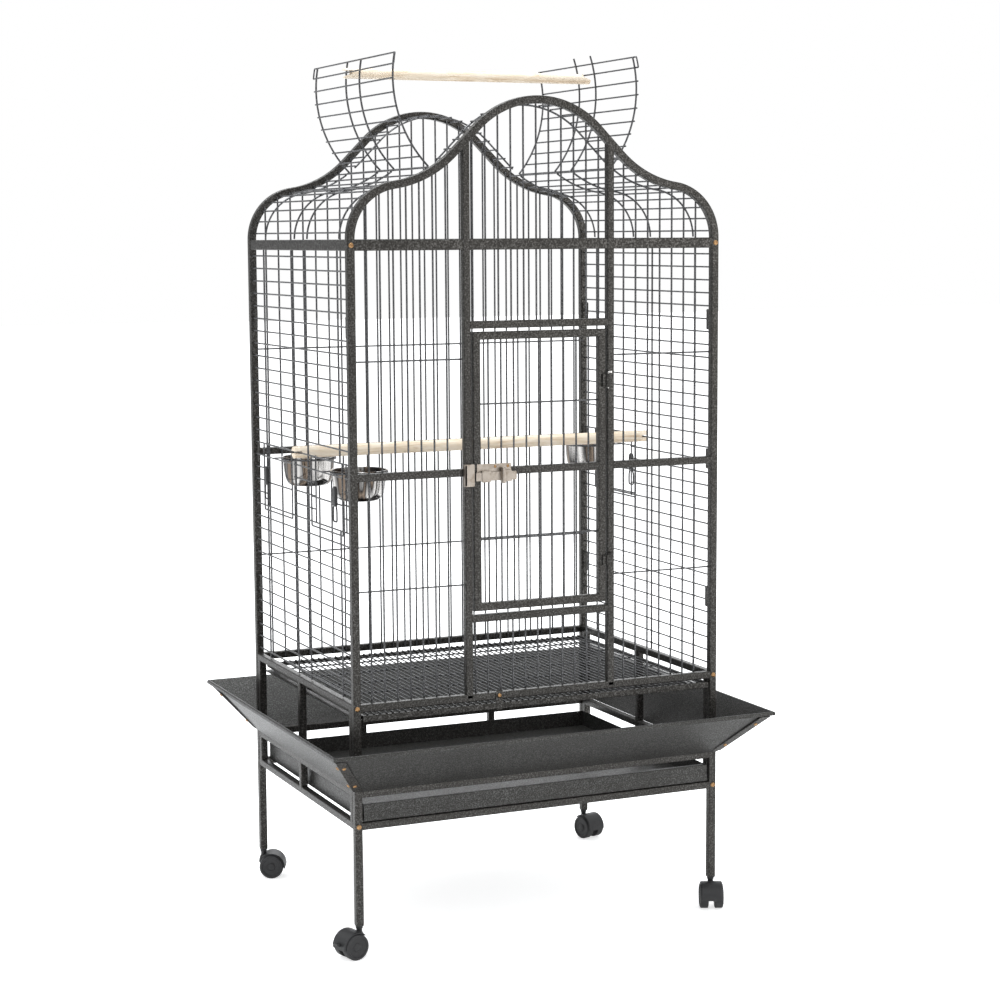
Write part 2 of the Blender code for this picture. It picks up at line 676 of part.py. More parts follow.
def build_feeder_lock(name, side, y):
    """A flat knob on the outside of a feeder door, with a hanging wire loop."""
    pivot = Vector((side * LOCK_X, y, LOCK_Z))
    inner, outer = sorted((side * (FEEDER_X + 0.0020), side * (FEEDER_X + 0.0080)))
    outline = [(y - 0.007, LOCK_Z - 0.018), (y + 0.007, LOCK_Z - 0.018), (y + 0.007, LOCK_Z + 0.012)]
    outline += [(y + 0.004, LOCK_Z + 0.019), (y - 0.004, LOCK_Z + 0.019), (y - 0.007, LOCK_Z + 0.012)]
    knob = prism([(inner, a, b) for a, b in outline], X * (outer - inner))
    loop = [(-0.004, -0.016), (-0.010, -0.024), (-0.010, -0.042), (-0.004, -0.048),
            (0.004, -0.048), (0.010, -0.042), (0.010, -0.024), (0.004, -0.016)]
    path = [(pivot.x, y + a, LOCK_Z + b) for a, b in loop]
    loop_wire = sweep(path, X, square(0.0011), closed=True)
    make(f"feeder_lock_{name}", [knob, loop_wire], PLASTIC, pivot, smooth=False)


# ---------------------------------------------------------------- front door and latch
def build_front_door():
    y = -HALF_D
    edge = DOOR_HALF_W - TUBE
    low, high = DOOR_LOW_Z + TUBE, DOOR_HIGH_Z - TUBE
    outline = [(-edge, y, low), (edge, y, low), (edge, y, high), (-edge, y, high)]
    pieces = [sweep(outline, Y, square(TUBE), closed=True),
              beam((-edge, y, MIDDLE_RAIL_Z), (edge, y, MIDDLE_RAIL_Z), RAIL)]
    bars = spaced(9, BAR_PITCH)
    rows = sorted([low, high] + strips(DOOR_WIRE_ZS, WIRE))
    columns = sorted([-edge, edge] + strips(bars, BAR))
    pieces.append(lattice(columns, rows,
                          lambda x, z: on_strip(x, bars, BAR) or on_strip(z, DOOR_WIRE_ZS, WIRE),
                          lambda x, z: (Vector((x, y, z)), Y), WIRE))
    bores = []
    for pin_low, pin_high in HINGE_PINS.values():
        low_z, high_z = pin_low + 0.002, pin_high - 0.006
        pieces.append(rod(DOOR_HINGE + Z * low_z, DOOR_HINGE + Z * high_z, KNUCKLE_R, 10))
        pieces.append(block((edge - 0.001, DOOR_HINGE.y + 0.0012, low_z + 0.001),
                            (DOOR_HINGE.x - 0.0022, FRONT_FACE_Y + 0.001, high_z - 0.001)))
        pieces.append(block((DOOR_HINGE.x - 0.005, DOOR_HINGE.y - 0.0012, low_z + 0.001),
                            (DOOR_HINGE.x - 0.0024, DOOR_HINGE.y + 0.0035, high_z - 0.001)))
        bore_ends = (DOOR_HINGE + Z * z for z in (low_z - 0.005, high_z + 0.005))
        bores.append(rod(*bore_ends, HINGE_BORE_R, 10))
    make("front_door", pieces, HAMMERTONE, DOOR_HINGE, cutters=bores)


def build_hinge_pins():
    for name, (low, high) in HINGE_PINS.items():
        bend_z = high - 0.0035
        end = Vector((INNER_POST_X - 0.003, DOOR_HINGE.y, bend_z))
        upright = rod(DOOR_HINGE + Z * low, DOOR_HINGE + Z * high, HINGE_PIN_R - 0.0001, 8)
        arm = rod(DOOR_HINGE + Z * bend_z, end, 0.0015, 6)
        post_face_y = -HALF_D - RAIL - GAP
        foot = block(end - Vector((0.002, 0.001, 0.002)), (end.x + 0.002, post_face_y, bend_z + 0.002))
        make(f"door_hinge_pin_{name}", [upright, arm, foot], STEEL)


def build_latch():
    face = FRONT_FACE_Y
    plate = [block((-0.1334, face - 0.0020, 0.889), (-0.0625, face - GAP, 0.920)),
             block((-0.1250, face - 0.0080, 0.8858), (-0.1070, face - 0.0015, 0.9072)),
             block((-0.0770, face - 0.0080, 0.8858), (-0.0640, face - 0.0015, 0.9072))]
    channel = block((-0.130, BOLT_LOW.y - GAP, BOLT_LOW.z - GAP),
                    (-0.060, BOLT_HIGH.y + GAP, BOLT_HIGH.z + GAP))
    make("latch_plate", plate, NICKEL, DOOR_HINGE, cutters=[channel], smooth=False)
    fin = block((-0.086, BOLT_LOW.y - 0.009, 0.8828), (-0.079, BOLT_LOW.y + 0.001, 0.9130))
    make("latch_bolt", [block(BOLT_LOW, BOLT_HIGH), fin], NICKEL, BOLT_LOW, smooth=False)
    strike = block((-0.1605, face - 0.0085, 0.879), (-0.1405, face - GAP, 0.921))
    pocket = block((-0.1555, BOLT_LOW.y - GAP, BOLT_LOW.z - 0.0008),
                   (-0.139, BOLT_HIGH.y + GAP, BOLT_HIGH.z + 0.0008))
    make("latch_strike", [strike], NICKEL, cutters=[pocket], smooth=False)


# ---------------------------------------------------------------- grate, tray, skirts
def build_grate():
    front, back = GRATE_FRONT_Y, GRATE_BACK_Y
    wires = spaced(9, GRATE_PITCH)
    crossings = (-0.10, 0.10)
    half = GRATE_HALF_W
    grille = lattice(
        sorted([-half, half] + strips(wires, GRATE_WIRE)),
        sorted([front + 0.001, back] + strips(crossings, GRATE_WIRE)),
        lambda x, y: on_strip(x, wires, GRATE_WIRE) or on_strip(y, crossings, GRATE_WIRE),
        lambda x, y: (Vector((x, y, GRATE_WIRE_Z)), Z), GRATE_WIRE)
    low, high = GRATE_RAIL_LOW_Z, GRATE_RAIL_HIGH_Z
    rails = [block((-half - 0.0005, front, low), (half + 0.0005, front + 0.008, high)),
             block((-half - 0.0005, back - 0.006, low + 0.004), (half + 0.0005, back + 0.0005, high))]
    rails += [block((x - 0.003, front + 0.004, low + 0.004), (x + 0.003, back - 0.003, high - 0.0002))
              for x in (-half + 0.0025, half - 0.0025)]
    tab = block((TAB_X - 0.007, front - 0.0016, 0.4470), (TAB_X + 0.007, front + 0.0006, 0.4850))
    make("grate", [grille] + rails + [tab], HAMMERTONE, (0, front, GRATE_WIRE_Z), smooth=False)
    head_y = front - 0.0016 - GAP
    profile = [(0, 0), (0.0042, 0), (0.0042, 0.0008), (0.0026, 0.0020), (0, 0.0024)]
    head = Vector((TAB_X, head_y, TAB_SCREW_Z))
    make("grate_screw", [turned(profile, head, -Y, 12)], BRASS, head)


def build_tray():
    front, back = TRAY_FRONT_Y, TRAY_BACK_Y
    outer = block((-TRAY_HALF_W, front, TRAY_LOW_Z), (TRAY_HALF_W, back, TRAY_HIGH_Z))
    inner = block((-TRAY_HALF_W + TRAY_WALL, front + TRAY_WALL, TRAY_LOW_Z + TRAY_WALL),
                  (TRAY_HALF_W - TRAY_WALL, back - TRAY_WALL, TRAY_HIGH_Z + 0.01))
    make("tray", [outer], HAMMERTONE, (0, front, TRAY_LOW_Z), cutters=[inner], smooth=False)


def sheet_outline(line, thickness):
    """A closed outline round an open bent line of 2D points, half the thickness to each side."""
    left, right = [], []
    for i, (a, b) in enumerate(line):
        ways = [Vector(line[k + 1]) - Vector(line[k]) for k in (i - 1, i) if 0 <= k < len(line) - 1]
        along = sum((way.normalized() for way in ways), Vector((0, 0))).normalized()
        reach = thickness / 2 / along.dot(ways[0].normalized())
        left.append((a - along.y * reach, b + along.x * reach))
        right.append((a + along.y * reach, b - along.x * reach))
    return left + right[::-1]


def build_skirts():
    """Four flaring sheets with a folded lip; their mitred ends meet at the corner seams."""
    out = SKIRT_HIGH - SKIRT_LOW
    end_skirt = (X, SKIRT_LOW.y, out.y, SKIRT_LOW.x, out.x / out.y)
    side_skirt = (Y, SKIRT_LOW.x, out.x, SKIRT_LOW.y, out.y / out.x)
    for name, outward, shape in (("front", -Y, end_skirt), ("back", Y, end_skirt),
                                 ("left", -X, side_skirt), ("right", X, side_skirt)):
        along, start, spread, half_low, widening = shape
        line = [(0, SKIRT_LOW.z), (spread - SHEET / 2, SKIRT_HIGH.z - SHEET / 2),
                (spread - SHEET / 2 + 0.0008, SKIRT_HIGH.z - SKIRT_LIP)]
        outline = sheet_outline(line, SHEET)
        points = []
        for end in (-1, 1):
            for reach, z in outline:
                half_length = half_low + reach * widening - SEAM_GAP
                points.append(outward * (start + reach) + along * (end * half_length) + Z * z)
        size = len(outline)
        faces = [[k, (k + 1) % size, (k + 1) % size + size, k + size] for k in range(size)]
        for level in (0, size):
            faces += [[level + k for k in (0, 1, 4, 5)], [level + k for k in (1, 2, 3, 4)]]
        make(f"skirt_{name}", [(points, faces)], HAMMERTONE, smooth=False)


def build_corner_brackets():
    """V-shaped plates over the corner seams, on the outer faces of the skirts."""
    seam = SKIRT_HIGH - SKIRT_LOW
    face_x = Vector((seam.z, 0, -seam.x)).normalized()      # outer normals of a side and an end skirt
    face_y = Vector((0, seam.z, -seam.y)).normalized()
    planes = Matrix((face_x, face_y, seam.normalized())).inverted()
    offsets = [planes @ Vector((depth, depth, 0)) for depth in (SHEET / 2 + GAP, 3 * SHEET / 2 + GAP)]
    for name, (side_x, side_y, _) in CASTERS.items():
        mirror = Vector((side_x, side_y, 1))
        points = []
        for share in (0.05, 0.90):
            for offset in offsets:
                corner = SKIRT_LOW + seam * share + offset
                for wing in (-X * BRACKET_WING, Vector(), -Y * BRACKET_WING):
                    points.append((corner + wing) * mirror)
        rim = [0, 1, 2, 5, 4, 3]
        faces = [[rim[k], rim[(k + 1) % 6], rim[(k + 1) % 6] + 6, rim[k] + 6] for k in range(6)]
        for level in (0, 6):
            faces += [[level + k for k in (0, 1, 4, 3)], [level + k for k in (1, 2, 5, 4)]]
        make(f"corner_bracket_{name}", [(points, faces)], HAMMERTONE, smooth=False)


# ---------------------------------------------------------------- casters
def build_caster(name, side_x, side_y, trail):
    """A twin-wheel caster: hood, web and stem in one moulding, and two wheels on one axle."""
    leg = Vector((side_x * HALF_W, side_y * HALF_D, 0))
    trail = trail.normalized()
    axle = Z.cross(trail)
    centre = leg + trail * CASTER_TRAIL + Z * WHEEL_R

    def at(angle, radius, across):
        """A point round the axle, the angle measured up from the trailing side."""
        return centre + trail * (radius * math.cos(angle)) + Z * (radius * math.sin(angle)) + axle * across

    angles = [math.radians(a) for a in (-8, 16, 40, 64, 88, 112, 132)]
    outline = [at(a, HOOD_OUTER_R, -HOOD_HALF_W) for a in angles]
    outline += [at(a, HOOD_INNER_R, -HOOD_HALF_W) for a in reversed(angles)]
    hood = prism(outline, axle * (2 * HOOD_HALF_W))
    web_outline = [at(a, HOOD_INNER_R + 0.001, -WEB_HALF_W) for a in angles]
    web_outline += [at(math.radians(165), 0.0262, -WEB_HALF_W), at(math.radians(205), 0.012, -WEB_HALF_W),
                    at(math.radians(270), 0.010, -WEB_HALF_W)]
    web = prism(web_outline, axle * (2 * WEB_HALF_W))
    stem = rod(leg + Z * 0.034, leg + Z * (LEG_BOTTOM - GAP), STEM_R, 10)
    bore = rod(centre - axle * 0.02, centre + axle * 0.02, AXLE_R + GAP, 10)
    make(f"caster_hood_{name}", [web, hood, stem], PLASTIC, leg + Z * LEG_BOTTOM, cutters=[bore])

    sides = 16
    rim = WHEEL_R / math.cos(math.pi / sides)
    outer_half = [(AXLE_R, WHEEL_INNER), (rim, WHEEL_INNER), (rim, WHEEL_OUTER - 0.002),
                  (rim - 0.003, WHEEL_OUTER), (0, WHEEL_OUTER)]
    profile = [(radius, -height) for radius, height in reversed(outer_half)] + outer_half
    make(f"caster_wheels_{name}", [turned(profile, centre, axle, sides)], PLASTIC, centre)
    return trail, axle, centre


def build_casters():
    for name, (side_x, side_y, heading) in CASTERS.items():
        trail, axle, centre = build_caster(name, side_x, side_y, heading)
        if name == "front_left":
            build_brake(centre + trail * (HOOD_OUTER_R + 0.0022) + Z * 0.006, trail, axle)


def build_brake(pivot, trail, axle):
    """A small tread behind one caster's hood, on a level pivot."""
    outline = ((-0.0015, -0.0025), (0.0060, 0.0015), (0.0055, 0.0050), (-0.0015, 0.0030))
    tread = [pivot + trail * a + Z * b - axle * BRAKE_HALF_W for a, b in outline]
    make("brake_lever", [prism(tread, axle * (2 * BRAKE_HALF_W))], PLASTIC, pivot, smooth=False)


build_front_frame()
build_back_frame()
build_side_frames()
build_bar_panels()
build_side_panels()
build_roof()
build_flaps()
build_top_perch()
build_inner_perch()
build_feeders()
build_front_door()
build_hinge_pins()
build_latch()
build_grate()
build_tray()
build_skirts()
build_corner_brackets()
build_casters()
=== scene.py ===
"""The looks of the bird cage on its rolling stand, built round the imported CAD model.

Metres, +Z up, +X to the right, the door faces -Y. The origin is on the floor under the middle of the cage.
Every piece is built in place from closed lofted skins, then rides on the CAD body that it belongs to.
"""

import math

import bmesh
import bpy
import numpy as np
from mathutils import Matrix, Vector


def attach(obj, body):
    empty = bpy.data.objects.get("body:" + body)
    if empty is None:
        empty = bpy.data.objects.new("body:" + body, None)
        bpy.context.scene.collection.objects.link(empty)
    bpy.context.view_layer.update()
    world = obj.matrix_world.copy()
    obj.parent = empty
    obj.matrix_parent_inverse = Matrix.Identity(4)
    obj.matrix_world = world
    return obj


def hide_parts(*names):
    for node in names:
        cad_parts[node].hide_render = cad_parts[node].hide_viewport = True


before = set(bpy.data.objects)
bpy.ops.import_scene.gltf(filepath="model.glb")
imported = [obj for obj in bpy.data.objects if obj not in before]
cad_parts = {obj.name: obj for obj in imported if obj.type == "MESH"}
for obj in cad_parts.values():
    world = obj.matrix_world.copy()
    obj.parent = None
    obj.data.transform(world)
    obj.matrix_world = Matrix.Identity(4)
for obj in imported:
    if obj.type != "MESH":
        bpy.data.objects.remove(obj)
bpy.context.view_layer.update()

X = Vector((1, 0, 0))
Y = Vector((0, 1, 0))
Z = Vector((0, 0, 1))

# ---------------------------------------------------------------- dimensions shared with the CAD
TUBE = 0.0075                   # half the side of the square tube of posts, arches and legs
RAIL = 0.0072
TUBE_CORNER = 0.0022
BAR_R = 0.0019
WIRE_R = 0.0016
BAR_PITCH = 0.0262
WIRE_PITCH = 0.0254
BACK_BAR_PITCH = 0.0270
HALF_W = 0.3775                 # post centres
HALF_D = 0.29
LEG_BOTTOM = 0.061
POST_TOP = 1.340
SHOULDER_Z = 1.330
SHOULDER_LOW_Z = SHOULDER_Z - 0.010
SHOULDER_HIGH_Z = SHOULDER_Z + 0.010
SHOULDER_HALF_DEPTH = 0.006
LOWER_RAIL_Z = 0.250
BASE_RAIL_Z = 0.312
BOTTOM_RAIL_Z = 0.474
MIDDLE_RAIL_Z = 0.905
TIE_WIRE_ZS = (0.690, 1.117)
SILL_Z = 0.626
HEADER_Z = 1.181
INNER_POST_X = 0.1495
FRONT_FACE_Y = -HALF_D - TUBE
BAR_PLANE_Y = 0.2802

CORNER_R = 0.100
EAVE_ANGLE = math.radians(8)
DOME_ANGLE = math.radians(45)
DOME_R = 0.176
DOME_Z = 1.422
ROOF_INSET = 0.0045
ROOF_END_Y = 0.2827
ROD_YS = (-0.2175, -0.0375, 0.0375, 0.2175)
HOOK_TAB_HALF = Vector((0.0014, 0.006, 0.020))
HOOK_TAB_Y = 0.270
HOOK_TAB_ZS = (1.180, 0.905, 0.628)
WELD_STEP = 0.0014              # how far crossing wires sit either side of their panel's middle

FLAP_HINGE_X = 0.1925
FLAP_HINGE_Z = 1.475
FLAP_CHORD = 0.2178
FLAP_SAGITTA = 0.027
FLAP_LEAN = {"left": math.radians(17.4), "right": math.radians(12.7)}
FLAP_RODS = 9
FLAP_TIP_STEP = 0.0202
FLAP_HALF_D = 0.2135
FLAP_LOOP_Y = 0.2235
HOOK_LENGTH = 0.021

PERCH_Y = 0.015
TOP_PERCH_R = 0.0102
TOP_PERCH_Z = 1.6605
TOP_PERCH_PAST_ROD = 0.0125
INNER_PERCH_R = 0.01175
INNER_PERCH_HALF_LENGTH = 0.389
PANEL_WIRE_Z = 0.927

# Side, door centre along Y, and the side of the centre that the hinge is on
FEEDERS = {"left_front": (-1, -0.165, 1), "left_back": (-1, 0.125, -1), "right_back": (1, 0.140, 1)}
FEEDER_X = 0.3845
FEEDER_HALF_W = 0.089
FEEDER_LOW_Z = 0.792
FEEDER_HIGH_Z = 0.930
FEEDER_CUT_HALF_W = 0.085
FEEDER_CUT_LOW_Z = PANEL_WIRE_Z - 5 * WIRE_PITCH
CUP_X = 0.319
CUP_R = 0.0525
CUP_RIM_R = 0.055
CUP_RIM_Z = 0.907
CUP_DEPTH = 0.058
RING_R = 0.0547
RING_WIRE = 0.0015
RING_Z = 0.9028
LOCK_Z = 0.865

DOOR_HALF_W = 0.1385
DOOR_LOW_Z = 0.640
DOOR_HIGH_Z = 1.168
DOOR_WIRE_ZS = (0.778, 1.032)
DOOR_HINGE = Vector((0.1405, -0.303, 0))
KNUCKLE_R = 0.0042
HINGE_PIN_R = 0.0019
HINGE_PINS = {"lower": (0.709, 0.738), "upper": (1.054, 1.089)}

BASE_TUBE_Y = 0.2748
BASE_MIDDLE_Y = 0.02
TRAY_HALF_W = 0.366
TRAY_WALL = 0.0015
TRAY_LOW_Z = 0.2576
TRAY_HIGH_Z = 0.2915
TRAY_FRONT_Y = -0.2935
TRAY_BACK_Y = 0.270
GRATE_HALF_W = 0.366
GRATE_FRONT_Y = -0.298
GRATE_BACK_Y = 0.276
GRATE_WIRE_Z = 0.462
GRATE_WIRE_PITCH = 0.0127
TAB_X = -0.090
TAB_SCREW_Z = 0.475

SKIRT_LOW = Vector((0.3862, 0.2986, 0.318))
SKIRT_HIGH = Vector((0.4615, 0.398, 0.411))
SHEET = 0.0012
SKIRT_LIP = 0.0075
SEAM_GAP = 0.0006
BRACKET_WING = 0.019
CORNERS = {"front_left": (-1, -1), "front_right": (1, -1), "back_left": (-1, 1), "back_right": (1, 1)}

WHEEL_R = 0.025
WHEEL_INNER = 0.0065
WHEEL_OUTER = 0.0235
CASTER_TRAIL = 0.018
HOOD_INNER_R = 0.0262
HOOD_OUTER_R = 0.0285
HOOD_HALF_W = 0.0215
WEB_HALF_W = 0.0055
STEM_R = 0.0055
HEADING_RIGHT = Vector((0.9136, -0.4066, 0))
HEADING_NEAR = Vector((-0.4066, -0.9136, 0))
TRAILS = {
    "front_left": -0.80 * HEADING_RIGHT + 0.60 * HEADING_NEAR,
    "front_right": HEADING_NEAR,
    "back_left": HEADING_RIGHT,
    "back_right": 0.62 * HEADING_RIGHT + 0.78 * HEADING_NEAR,
}

# ---------------------------------------------------------------- camera, floor and light
CAMERA_AT = Vector((-1.773, -4.089, 1.346))
CAMERA_LENS_MM = 79.65
CAMERA_AZIMUTH = math.radians(-23.992)
CAMERA_PITCH = math.radians(6.815)
CAMERA_ROLL = math.radians(-0.351)
SURROUND_AT_HORIZON = 0.28
SURROUND_OVERHEAD = 1.3
FLOOR_GLOW = 0.62               # what the camera sees of the paper's own light
FLOOR_BOUNCE = 0.22             # what the object gets of it


def add_camera():
    turn, pitch, roll = CAMERA_AZIMUTH, CAMERA_PITCH, CAMERA_ROLL
    back = Vector((math.sin(turn) * math.cos(pitch), -math.cos(turn) * math.cos(pitch), math.sin(pitch)))
    right = Vector((math.cos(turn), math.sin(turn), 0))
    up = back.cross(right)
    rolled_right = right * math.cos(roll) + up * math.sin(roll)
    rolled_up = up * math.cos(roll) - right * math.sin(roll)
    data = bpy.data.cameras.new("camera")
    data.lens = CAMERA_LENS_MM
    data.clip_end = 200
    camera = bpy.data.objects.new("camera", data)
    facing = Matrix((rolled_right, rolled_up, back)).transposed().to_4x4()
    camera.matrix_world = Matrix.Translation(CAMERA_AT) @ facing
    bpy.context.scene.collection.objects.link(camera)
    bpy.context.scene.camera = camera


def add_soft_light(name, at, aim, size, power, colour):
    data = bpy.data.lights.new(name, "AREA")
    data.shape = "DISK"
    data.size = size
    data.energy = power
    data.color = colour
    lamp = bpy.data.objects.new(name, data)
    lamp.location = at
    lamp.rotation_euler = (Vector(at) - Vector(aim)).to_track_quat("Z", "Y").to_euler()
    bpy.context.scene.collection.objects.link(lamp)


def add_world():
    """A white surround to look at, and a softer one to light by, bright overhead and dim round the sides."""
    world = bpy.data.worlds.new("studio")
    bpy.context.scene.world = world
    world.use_nodes = True
    tree = world.node_tree
    tree.nodes.clear()
    direction = tree.nodes.new("ShaderNodeTexCoord").outputs["Generated"]
    parts = tree.nodes.new("ShaderNodeSeparateXYZ")
    tree.links.new(direction, parts.inputs["Vector"])
    height = tree.nodes.new("ShaderNodeMapRange")
    height.inputs["From Min"].default_value = -0.05
    height.inputs["From Max"].default_value = 0.8
    height.inputs["To Min"].default_value = SURROUND_AT_HORIZON
    height.inputs["To Max"].default_value = SURROUND_OVERHEAD
    tree.links.new(parts.outputs["Z"], height.inputs["Value"])
    lighting = tree.nodes.new("ShaderNodeBackground")
    lighting.inputs["Color"].default_value = (0.97, 0.985, 1.0, 1)
    tree.links.new(height.outputs["Result"], lighting.inputs["Strength"])
    seen = tree.nodes.new("ShaderNodeBackground")
    seen.inputs["Color"].default_value = (1, 1, 1, 1)
    choice = tree.nodes.new("ShaderNodeMixShader")
    tree.links.new(tree.nodes.new("ShaderNodeLightPath").outputs["Is Camera Ray"], choice.inputs["Fac"])
    tree.links.new(lighting.outputs["Background"], choice.inputs[1])
    tree.links.new(seen.outputs["Background"], choice.inputs[2])
    tree.links.new(choice.outputs["Shader"], tree.nodes.new("ShaderNodeOutputWorld").inputs["Surface"])


def add_studio():
    add_world()
    bpy.context.scene.view_settings.view_transform = "Standard"
    middle = (0, 0, 0.9)
    add_soft_light("overhead", (-0.4, 0.4, 4.2), middle, 2.6, 120, (0.93, 0.97, 1.0))
    add_soft_light("left_strip", (-3.4, -3.4, 2.4), middle, 0.6, 9, (0.95, 0.98, 1.0))
    add_soft_light("right_front", (2.9, -4.4, 1.5), middle, 2.2, 30, (1.0, 0.97, 0.93))
    add_soft_light("behind", (1.9, 4.6, 1.7), middle, 3.0, 40, (0.97, 0.98, 1.0))
    floor_mesh = bpy.data.meshes.new("floor")
    reach = 30
    floor_mesh.from_pydata([(-reach, -reach, 0), (reach, -reach, 0), (reach, reach, 0), (-reach, reach, 0)],
                           [], [(0, 1, 2, 3)])
    floor = bpy.data.objects.new("floor", floor_mesh)
    floor.data.materials.append(PAPER)
    bpy.context.scene.collection.objects.link(floor)


# ---------------------------------------------------------------- materials
class Nodes:
    """A short way to write one material's node tree."""

    def __init__(self, name):
        self.material = bpy.data.materials.new(name)
        self.material.use_nodes = True
        self.tree = self.material.node_tree
        self.shader = self.tree.nodes["Principled BSDF"]
        self.place = self.tree.nodes.new("ShaderNodeTexCoord").outputs["Object"]

    def set(self, **values):
        for name, value in values.items():
            self.shader.inputs[name.replace("_", " ")].default_value = value

    def link(self, source, socket):
        self.tree.links.new(source, self.shader.inputs[socket])

    def add(self, kind, inputs=None, **settings):
        node = self.tree.nodes.new(kind)
        for name, value in settings.items():
            setattr(node, name, value)
        for name, value in (inputs or {}).items():
            if isinstance(value, bpy.types.NodeSocket):
                self.tree.links.new(value, node.inputs[name])
            else:
                node.inputs[name].default_value = value
        return node

    def stretched(self, scale):
        return self.add("ShaderNodeMapping", {"Vector": self.place, "Scale": scale}).outputs["Vector"]

    def noise(self, scale, detail=3.0, roughness=0.6, place=None, distortion=0.0):
        inputs = {"Vector": place or self.place, "Scale": scale, "Detail": detail, "Roughness": roughness,
                  "Distortion": distortion}
        return self.add("ShaderNodeTexNoise", inputs).outputs["Fac"]

    def cells(self, scale):
        inputs = {"Vector": self.place, "Scale": scale}
        return self.add("ShaderNodeTexVoronoi", inputs, feature="SMOOTH_F1").outputs["Distance"]

    def ramp(self, value, *stops):
        node = self.add("ShaderNodeValToRGB", {"Fac": value})
        elements = node.color_ramp.elements
        while len(elements) < len(stops):
            elements.new(0.5)
        for element, (position, colour) in zip(elements, stops):
            element.position = position
            element.color = (*colour, 1) if isinstance(colour, tuple) else (colour, colour, colour, 1)
        return node.outputs["Color"]

    def span(self, value, low, high, to_low, to_high):
        node = self.add("ShaderNodeMapRange", {"Value": value, "From Min": low, "From Max": high,
                                               "To Min": to_low, "To Max": to_high})
        return node.outputs["Result"]

    def mix(self, share, first, second):
        node = self.add("ShaderNodeMix", data_type="RGBA")
        for socket, value in (("Factor", share), ("A", first), ("B", second)):
            named = [s for s in node.inputs if s.enabled and s.name == socket]
            target = [s for s in named if s.type in ("RGBA", "VALUE")][0]
            if isinstance(value, bpy.types.NodeSocket):
                self.tree.links.new(value, target)
            else:
                target.default_value = value if socket == "Factor" else (*value, 1)
        return [s for s in node.outputs if s.type == "RGBA"][0]

    def bump(self, height, strength, distance):
        node = self.add("ShaderNodeBump", {"Height": height, "Strength": strength, "Distance": distance})
        self.link(node.outputs["Normal"], "Normal")


def hammertone(name, dark, middle, light, scale, depth):
    """Stove enamel with silver veins over dark pits, pebbled like hammered metal."""
    n = Nodes(name)
    grain = n.noise(scale, 2.5, 0.62)
    veins = n.ramp(grain, (0.30, dark), (0.50, middle), (0.66, light))
    drift = n.noise(7.0, 2.0, 0.5)
    n.link(n.mix(n.span(drift, 0.3, 0.7, 0.0, 0.35), veins, dark), "Base Color")
    n.link(n.span(grain, 0.3, 0.7, 0.50, 0.30), "Roughness")
    n.set(Metallic=0.6)
    n.bump(n.cells(scale * 0.62), 0.55, depth)
    return n.material


def pine(name, pale, mid, streak):
    """Planed softwood with grain along X."""
    n = Nodes(name)
    along = n.stretched((1.3, 14.0, 14.0))
    rings = n.noise(9.0, 3.0, 0.55, along, 0.8)
    fibre = n.noise(60.0, 3.0, 0.6, n.stretched((0.6, 14.0, 14.0)))
    figure = n.ramp(rings, (0.30, streak), (0.46, mid), (0.62, pale))
    n.link(n.mix(n.span(fibre, 0.35, 0.7, 0.0, 0.35), figure, mid), "Base Color")
    n.link(n.span(fibre, 0.3, 0.7, 0.50, 0.68), "Roughness")
    n.bump(fibre, 0.25, 0.0004)
    return n.material


def metal(name, colour, tarnish, roughness, scale, stretch, wear):
    """Bare metal with fine rubbing marks and tarnish in patches."""
    n = Nodes(name)
    marks = n.noise(scale, 3.0, 0.6, n.stretched(stretch))
    patches = n.noise(90.0, 3.0, 0.65)
    n.link(n.mix(n.span(patches, 0.45, 0.75, 0.0, wear), colour, tarnish), "Base Color")
    n.link(n.span(marks, 0.3, 0.7, roughness, roughness + 0.16), "Roughness")
    n.set(Metallic=1.0)
    n.bump(marks, 0.12, 0.0002)
    return n.material


def steel_painted_reflections(name, dark, brown, bright):
    """Polished sheet drawn into a cup, with painted reflections: near-black, brown and bright bands up its
    wall in the base colour.
    """
    n = Nodes(name)
    painted_reflection_bands = n.noise(42.0, 2.0, 0.5, n.stretched((1, 1, 0.05)))
    # Painted reflection: vertical near-black, brown and bright bands stand in for the surroundings mirrored
    # in the polished wall; roughness follows the same bands.
    n.link(n.ramp(painted_reflection_bands, (0.36, dark), (0.47, brown), (0.52, dark), (0.62, bright)), "Base Color")
    n.link(n.span(painted_reflection_bands, 0.3, 0.7, 0.22, 0.10), "Roughness")
    n.set(Metallic=1.0)
    n.bump(n.noise(300.0, 3.0, 0.6, n.stretched((1, 1, 8))), 0.10, 0.0002)
    return n.material


def moulded(name, colour, worn, roughness):
    """Moulded plastic with a fine texture and scuffs."""
    n = Nodes(name)
    grain = n.noise(900.0, 2.0, 0.5)
    scuffs = n.noise(55.0, 4.0, 0.7)
    n.link(n.mix(n.span(scuffs, 0.5, 0.8, 0.0, 0.8), colour, worn), "Base Color")
    n.link(n.span(scuffs, 0.3, 0.7, roughness, roughness + 0.15), "Roughness")
    n.bump(grain, 0.3, 0.0002)
    return n.material


def paper(name):
    """The studio floor, which glows enough to look white."""
    n = Nodes(name)
    mottle = n.noise(3.0, 2.0, 0.5)
    n.link(n.ramp(mottle, (0.3, 0.90), (0.7, 0.93)), "Base Color")
    n.set(Roughness=0.9, Emission_Color=(1, 1, 1, 1))
    seen = n.add("ShaderNodeLightPath").outputs["Is Camera Ray"]
    n.link(n.span(seen, 0, 1, FLOOR_BOUNCE, FLOOR_GLOW), "Emission Strength")
    return n.material


